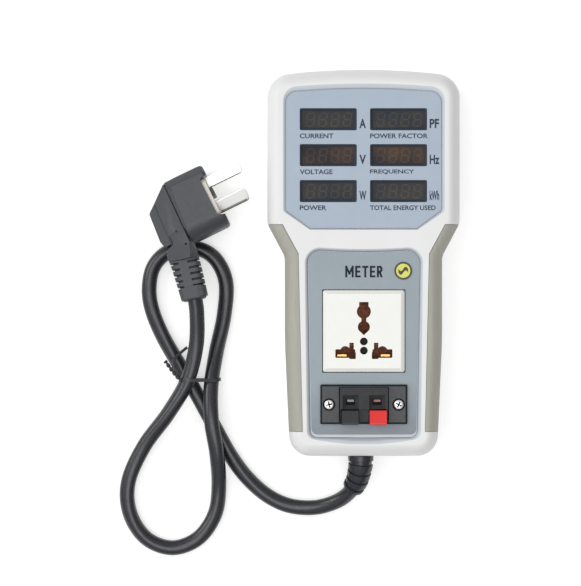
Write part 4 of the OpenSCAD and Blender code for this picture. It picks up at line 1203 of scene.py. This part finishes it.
def make_cord(path):
    """The flex: its three cores show as a slow, very shallow twist in the sheath."""
    twist = 2 * math.pi * route_length(path) / TWIST_LENGTH

    def section(share):
        out = []
        for t in turns(30):
            r = CORD_D / 2 * (1 + CORE_BULGE * math.cos(3 * t + twist * share))
            out.append((r * math.cos(t), r * math.sin(t)))
        return out

    skin = sweep("mains_cord", path, section)
    return place(skin, "cord", slot="cord_black", replaces=("power_cord",), sharp=60)


def boot_radius(share):
    """Taper of the strain relief with ring grooves along it."""
    grooved = any(abs(share - at) < GROOVE_HALF for at in BOOT_GROOVES)
    return BOOT_R - BOOT_TAPER * share - (GROOVE_DEPTH if grooved else 0)


def make_boot():
    path = smooth_route(CORD[:RELIEF_POINTS], 28)
    path = path[:int(len(path) * BOOT_SHARE)]
    skin = sweep("relief_boot", path, lambda share: circle(boot_radius(share)))
    return place(skin, "cord", slot="cord_black", replaces=("cord_strain_relief",), sharp=40)


TIE_Y = -60.4
# Turning of the twisted tail over its length, in radians
TAIL_TWIST = 16
# The strands inside the tie's loop, as x and z
TIED = [(-91.1, 4), (-91.1, 12.4), (-78.5, 9)]
# Cross-sections of the band and of the twisted tail, then the routes of the two tails
BAND = [(-0.85, -0.25), (0.85, -0.25), (0.85, 0.25), (0.35, 0.4), (0, 0.5), (-0.35, 0.4), (-0.85, 0.25)]
TWISTED = [(1.05, 0.4), (0, 0.65), (-1.05, 0.4), (-1.05, -0.4), (0, -0.65), (1.05, -0.4)]
TWIST_TAIL = [(-94, -60.4, 15.6), (-96.5, -58.6, 16.2), (-99.5, -55, 15.8), (-102.8, -50.6, 14.5)]
LOOSE_TAIL = [
    (-95, -60, 15), (-98.4, -54.5, 15.6), (-98, -49.6, 14.6), (-95.1, -46.6, 13), (-91.4, -43.5, 11.4),
]


def tie_band():
    """The band that goes round all strands, waving a little so that it does not look machined."""
    loop = hull_loop(TIED, CORD_D / 2 + 0.55)
    path = [Vector((x, TIE_Y + 0.25 * math.sin(i * 0.9), max(z, 0.6))) for i, (x, z) in enumerate(loop)]
    wide = Vector((0, 1, 0))
    rings = []
    for i, p in enumerate(path):
        along = (path[(i + 1) % len(path)] - path[i - 1]).normalized()
        out = along.cross(wide).normalized()
        rings.append([tuple(p + wide * u + out * v) for u, v in BAND])
    return loft("tie_band", rings + [rings[0]], capped=False)


def make_tie():
    """The plastic-coated twist tie: a flat band round the strands, a twisted tail and a loose one."""
    def twisted(share):
        angle = TAIL_TWIST * share
        c, s = math.cos(angle), math.sin(angle)
        return [(u * c - v * s, u * s + v * c) for u, v in TWISTED]

    flat = rounded_section(0.75, 0.4, 0.6, 12)
    parts = [
        tie_band(),
        sweep("tail", smooth_route(TWIST_TAIL, 10), twisted),
        sweep("thin", smooth_route(LOOSE_TAIL, 8), lambda share: flat),
    ]
    return place(joined(parts, "twist_tie"), "tie", slot="tie_black", replaces=("cord_tie",), sharp=50)


def hull_loop(rounds, r, steps=16):
    """The convex loop round equal circles, as (x, z) points."""
    points = sorted((cx + r * math.cos(t), cz + r * math.sin(t)) for cx, cz in rounds for t in turns(steps))

    def turns_left(a, b, c):
        return (b[0] - a[0]) * (c[1] - a[1]) - (b[1] - a[1]) * (c[0] - a[0]) > 0

    def half(seq):
        chain = []
        for p in seq:
            while len(chain) > 1 and not turns_left(chain[-2], chain[-1], p):
                chain.pop()
            chain.append(p)
        return chain[:-1]

    return half(points) + half(reversed(points))


cord_path = smooth_route(CORD)
cord = make_cord(cord_path)
boot = make_boot()
tie = make_tie()


# ---------------- plug
# Half the width of the plug's front
PLUG_HALF = 13.0


def prism(name, points, z0, z1):
    """An upright block of the plug, over a plain outline."""
    loop = [Vector(p) for p in points]
    return loft(name, [ring(loop, z0), ring(loop, z1)], IN_PLUG)


def make_plug_block():
    """The front of the plug: chamfered above, round below, and cut back round the pins."""
    corners = [(-15.9, -PLUG_HALF, 9.5, 8), (15, -PLUG_HALF, 1.2, 4), (18.8, -9.2, 2.5, 4),
               (18.8, 9.2, 2.5, 4), (15, PLUG_HALF, 1.2, 4), (-15.9, PLUG_HALF, 9.5, 8)]
    levels = [(-19.8, 1.4), (-19.4, 0.6), (-18.6, 0.15), (-12, 0), (0.6, 0.1), (1.9, 0.5), (2.5, 1.3)]
    block = stack("plug_moulding", corners, levels, 1, IN_PLUG @ LAY_ALONG)
    scoop = [(-1.5, 11.4), (-1.2, -8.8), (0, -9.4), (4.5, -10.2), (4.5, 12.8), (-0.4, 12.2)]
    valley = [(-19.4, 17.2), (-19.9, -8), (-18.7, -8), (-17, 13.8)]
    valleys = [prism("valley", valley, z, z + 3) for z in (10.9, -13.9)]
    return carve(block, prism("scoop", scoop, -14, 14), *valleys)


# Half the thickness of the plug's back at its ridge, and how it thins out behind and below
RIDGE_X, FOLD_Y = -19.4, -8
BACK_HALF, BACK_SLOPE, ROOT_SLOPE = 12.3, 0.022, 0.16
# The outlines of the plug's back, of its neck's root, and of the root's smaller upper and lower faces
WEDGE = [
    (RIDGE_X, 18.2, 0.4, 3), (-28.4, 11, 2, 4), (-33, 7.5, 2, 4), (-34.2, -8.3, 1.5, 4),
    (-32.6, -12, 1.2, 4), (-28.6, -12, 0.3, 3), (-28.4, FOLD_Y, 0.3, 3), (-20, FOLD_Y, 0.3, 3),
]
ROOT_START = [(-19.8, -6, 0.3, 3), (-28.6, -6, 0.3, 3), (-28.9, -12, 0.3, 3)]
ROOT = ROOT_START + [
    (-33.6, -13.6, 1, 3), (-33.9, -20, 1, 3), (-20.3, -22.9, 1, 3), (-19.2, -20.3, 1, 3), (-18.2, -13, 1, 3),
]
ROOT_TOP = ROOT_START + [
    (-33, -13.8, 1, 3), (-33.3, -19.8, 1, 3), (-23.2, -22.5, 1, 3), (-22.2, -20.4, 1, 3), (-20.2, -15, 1, 3),
]


def wedge_height(x):
    """Half the thickness of the plug's back, which thins out towards its rear edge."""
    return BACK_HALF * (1 + BACK_SLOPE * (x - RIDGE_X))


def root_height(x, y):
    """Half the thickness of the neck's root, which thins out further towards the cord."""
    return wedge_height(x) + ROOT_SLOPE * min(0, y - FOLD_Y)


def two_faced(name, corners, top_corners, height):
    """A slab between a sloping plane and its mirror image; its faces may be smaller than its middle."""
    upper = [(0.55, corners, 0), (0.93, top_corners, 0), (0.97, top_corners, 0.1), (1, top_corners, 0.4)]
    levels = [(-share, shape, inset) for share, shape, inset in reversed(upper)] + upper
    rings = [[(p.x, p.y, share * height(p)) for p in outline(shape, inset)] for share, shape, inset in levels]
    return loft(name, rings, IN_PLUG)


def make_plug_back():
    """The plug's back and the root of its neck, whose faces run into each other at FOLD_Y."""
    wedge = two_faced("wedge", WEDGE, WEDGE, lambda p: wedge_height(p.x))
    return [wedge, two_faced("root", ROOT, ROOT_TOP, lambda p: root_height(p.x, p.y))]


# The bend relief's slots, the plug's side grooves and moulding marks, and the neck's centre line
SLOTS = 5
SLOT_PITCH = Vector((-0.66, -3.1))
FIRST_SLOT = Vector((-27.2, -23))
NECK_TURN = -15
GROOVE_Z = 10.6
MARKS = ((-24.2, -7.1, 9), (-22.6, -15, 6))
NECK_CORE = [(-26.6, -16, 0), (-27.4, -23, 0), (-29, -32, 0), (-30.9, -41.5, 0)]


def make_plug_neck():
    """The bend relief: a sleeve slotted from both sides round a slimmer core, and a collar round the cord."""
    path = smooth_route(NECK_CORE, 6)
    neck = sweep("sleeve", path, lambda s: rounded_section(7.9 - 0.9 * s, 6.3 - 0.3 * s, 0.4), IN_PLUG)
    slots = []
    for k in range(SLOTS):
        lie = IN_PLUG @ shift(*(FIRST_SLOT + SLOT_PITCH * k)) @ spin(NECK_TURN)
        slots += [brick("slot", x, 0, -9, 9, 8, 1.2, 0.1, lie) for x in (-7.4, 5.2)]
    carve(neck, *slots)
    core = sweep("core", path, lambda s: rounded_section(6.6 - 0.6 * s, 2.6), IN_PLUG)
    end = IN_PLUG @ shift(-30.3, -38.8) @ spin(NECK_TURN) @ spin(90, "X")
    collar_levels = [(-3.7, 0.5), (-3.2, 0), (2.9, 0), (3.7, 0.8)]
    collar = stack("collar", box_corners(12.6, 12.4, 4.2, 0, 0, 6), collar_levels, 1, end)
    return combine(neck, [core, collar], "UNION")


def make_plug():
    """The moulded plug in one piece, with a groove along its back and two small moulding marks."""
    block = make_plug_block()
    boss = brick("boss", 0, 3.6, -7, 7, 5, 4.6, 0.5, IN_PLUG)
    combine(block, [*make_plug_back(), make_plug_neck(), boss], "UNION")
    cuts = []
    for z in (GROOVE_Z, -GROOVE_Z):
        at = IN_PLUG @ shift(-28.9, -0.6, z) @ spin(-2.3)
        cuts.append(brick("groove", 0, 0, -1.6, 1.6, 0.7, 24, 0.2, at))
    for x, y, z in MARKS:
        cuts.append(lathe("dot", [(0.55, z), (0.55, z + 5)], 16, IN_PLUG @ shift(x, y)))
    carve(block, *cuts)
    soften(block, 0.22, 2, 50)
    return place(block, "plug", slot="plug_black", replaces=("plug_body",), sharp=40)


def make_carrier():
    corners = box_corners(21.5, 23, 4, 1.3, 0, 6)
    carrier = stack("pin_carrier", corners, [(-5, 0), (0.3, 0), (0.6, 0.3)], 1, IN_PLUG @ LAY_ALONG)
    return place(carrier, "carrier", slot="carrier_beige", replaces=("plug_pin_carrier",))


# Half the width of a blade, the place of the two pole blades across the plug, and the lengths
BLADE_HALF = 3.175
POLE_BLADE_Y, POLE_BLADE_Z = -4.36, 6.86
POLE_BLADE_L, EARTH_BLADE_L = 17, 20


def make_blade(pole, length, y, z, turn):
    """A flat blade with rounded ends and chamfered edges, its lower edge in painted shade."""
    w = BLADE_HALF
    corners = [(0, -w, 0.2, 2), (length, -w, 2.2, 5), (length, w, 2.2, 5), (0, w, 0.2, 2)]
    at = IN_PLUG @ shift(0.6, y, z) @ spin(turn, "X")
    blade = stack(f"blade_{pole}", corners, [(-0.8, 0.45), (-0.4, 0), (0.4, 0), (0.8, 0.45)], 1, at)
    place(blade, "nickel", slot="pin_nickel", replaces=(f"plug_{pole}_pin",), sharp=30)
    edge = at.to_3x3() @ Vector((0, -1, 0))
    return tint(blade, "nickel_painted_shade", lambda face: face.normal.dot(edge) > 0.6)


plug = make_plug()
carrier = make_carrier()
blades = [
    make_blade("earth", EARTH_BLADE_L, 9.9, 0, 0),
    make_blade("live", POLE_BLADE_L, POLE_BLADE_Y, POLE_BLADE_Z, 30),
    make_blade("neutral", POLE_BLADE_L, POLE_BLADE_Y, -POLE_BLADE_Z, -30),
]
tuple(c * MM for c in CORD[0])
route_length(cord_path) * MM


# ---------------- back of the case
def make_back():
    foot = [(FOOT_R - 0.7, 0), (FOOT_R - 0.2, 0.25), (FOOT_R, 0.8), (FOOT_R, FLOOR_Z + 0.7)]
    feet = [lathe("foot", foot, 48, shift(x, y)) for x, y in FOOT_PLACES]
    place(joined(feet, "rubber_feet"), "feet", slot="feet_rubber", replaces=("rear_feet",))
    heads = []
    for i, (x, y) in enumerate(SCREW_PLACES):
        head = make_screw("head", 0, 0, math.degrees(0.7 * i), 2.8, 0)
        head.data.transform(shift(x * MM, y * MM, (FLOOR_Z + 5.3) * MM) @ spin(180, "X"))
        heads.append(head)
    place(joined(heads, "case_screw_heads"), "steel", slot="screw_steel", replaces=("case_screws",))
    label = stack("back_label", LABEL, [(FLOOR_Z, 0.2), (FLOOR_Z + 0.05, 0.12), (FLOOR_Z + 0.3, 0.12)])
    place(label, "label", slot="label_silver", replaces=("rear_label",))


make_back()


# ---------------- CAD nodes that keep their own shape
def dress_nodes():
    """Gives every CAD node the surface of its material slot."""
    slots = {s["node"]: s["material_slot"] for s in frame["record"]["subparts"]}
    for node, obj in frame["nodes"].items():
        for i in range(len(obj.material_slots)):
            obj.material_slots[i].material = SURFACES[SLOT_SURFACE[slots[node]]]


dress_nodes()


# ---------------- floor and light
FLOOR_HALF = 3000
FLOOR_COLOUR = (0.64, 0.64, 0.637, 1)
FLOOR_GLOW = 0.45
WHITE = (1, 1, 1, 1)
# The sky's strength at the horizon and overhead, how high up it is full, and its lean to one side
SKY_LOW, SKY_HIGH, SKY_FULL, SKY_LEAN = 0.05, 0.74, 0.5, -0.35
LIGHT_AIM = Vector((-0.03, -0.02, 0.02))
# Place in metres, size and power of each lamp
LAMPS = {"top": ((-0.2, -0.3, 2.6), 1.8, 30), "side": ((-1.6, 0.7, 1.2), 1.0, 13)}


def make_stage():
    """A pale floor that glows a little, so that the shadows on it stay faint."""
    side = FLOOR_HALF
    floor = mesh_object("floor", [(-side, -side, 0), (side, -side, 0), (side, side, 0), (-side, side, 0)],
                        [(0, 1, 2, 3)])
    surface = moulded("floor", FLOOR_COLOUR, 0.9, 0.004, 3, 300, 0.02, 0.1)
    glow = surface.node_tree.nodes["Principled BSDF"].inputs
    glow["Emission Color"].default_value = WHITE
    glow["Emission Strength"].default_value = FLOOR_GLOW
    floor.data.materials.append(surface)


def make_sky():
    """A white sky that brightens upwards and is stronger on the left."""
    world = bpy.data.worlds.new("studio")
    world.use_nodes = True
    tree = world.node_tree
    back = tree.nodes["Background"]
    back.inputs["Color"].default_value = WHITE
    coords = tree.nodes.new("ShaderNodeTexCoord")
    split = tree.nodes.new("ShaderNodeSeparateXYZ")
    level = tree.nodes.new("ShaderNodeMapRange")
    level.inputs["From Max"].default_value = SKY_FULL
    level.inputs["To Min"].default_value = SKY_LOW
    level.inputs["To Max"].default_value = SKY_HIGH
    lean = tree.nodes.new("ShaderNodeMath")
    lean.operation = "MULTIPLY_ADD"
    lean.inputs[1].default_value = SKY_LEAN
    lean.inputs[2].default_value = 1
    both = tree.nodes.new("ShaderNodeMath")
    both.operation = "MULTIPLY"
    links = (
        (coords.outputs["Generated"], split.inputs["Vector"]),
        (split.outputs["Z"], level.inputs["Value"]),
        (split.outputs["X"], lean.inputs[0]),
        (level.outputs["Result"], both.inputs[0]),
        (lean.outputs["Value"], both.inputs[1]),
        (both.outputs["Value"], back.inputs["Strength"]),
    )
    for start, end in links:
        tree.links.new(start, end)
    bpy.context.scene.world = world


def make_lamps():
    for name, (place_m, size, power) in LAMPS.items():
        data = bpy.data.lights.new(name, "AREA")
        data.size = size
        data.energy = power
        lamp = add_object(name, data)
        lamp.location = place_m
        lamp.rotation_euler = (LIGHT_AIM - Vector(place_m)).to_track_quat("-Z", "Y").to_euler()


make_stage()
make_sky()
make_lamps()
bpy.context.scene.view_settings.view_transform = "Standard"
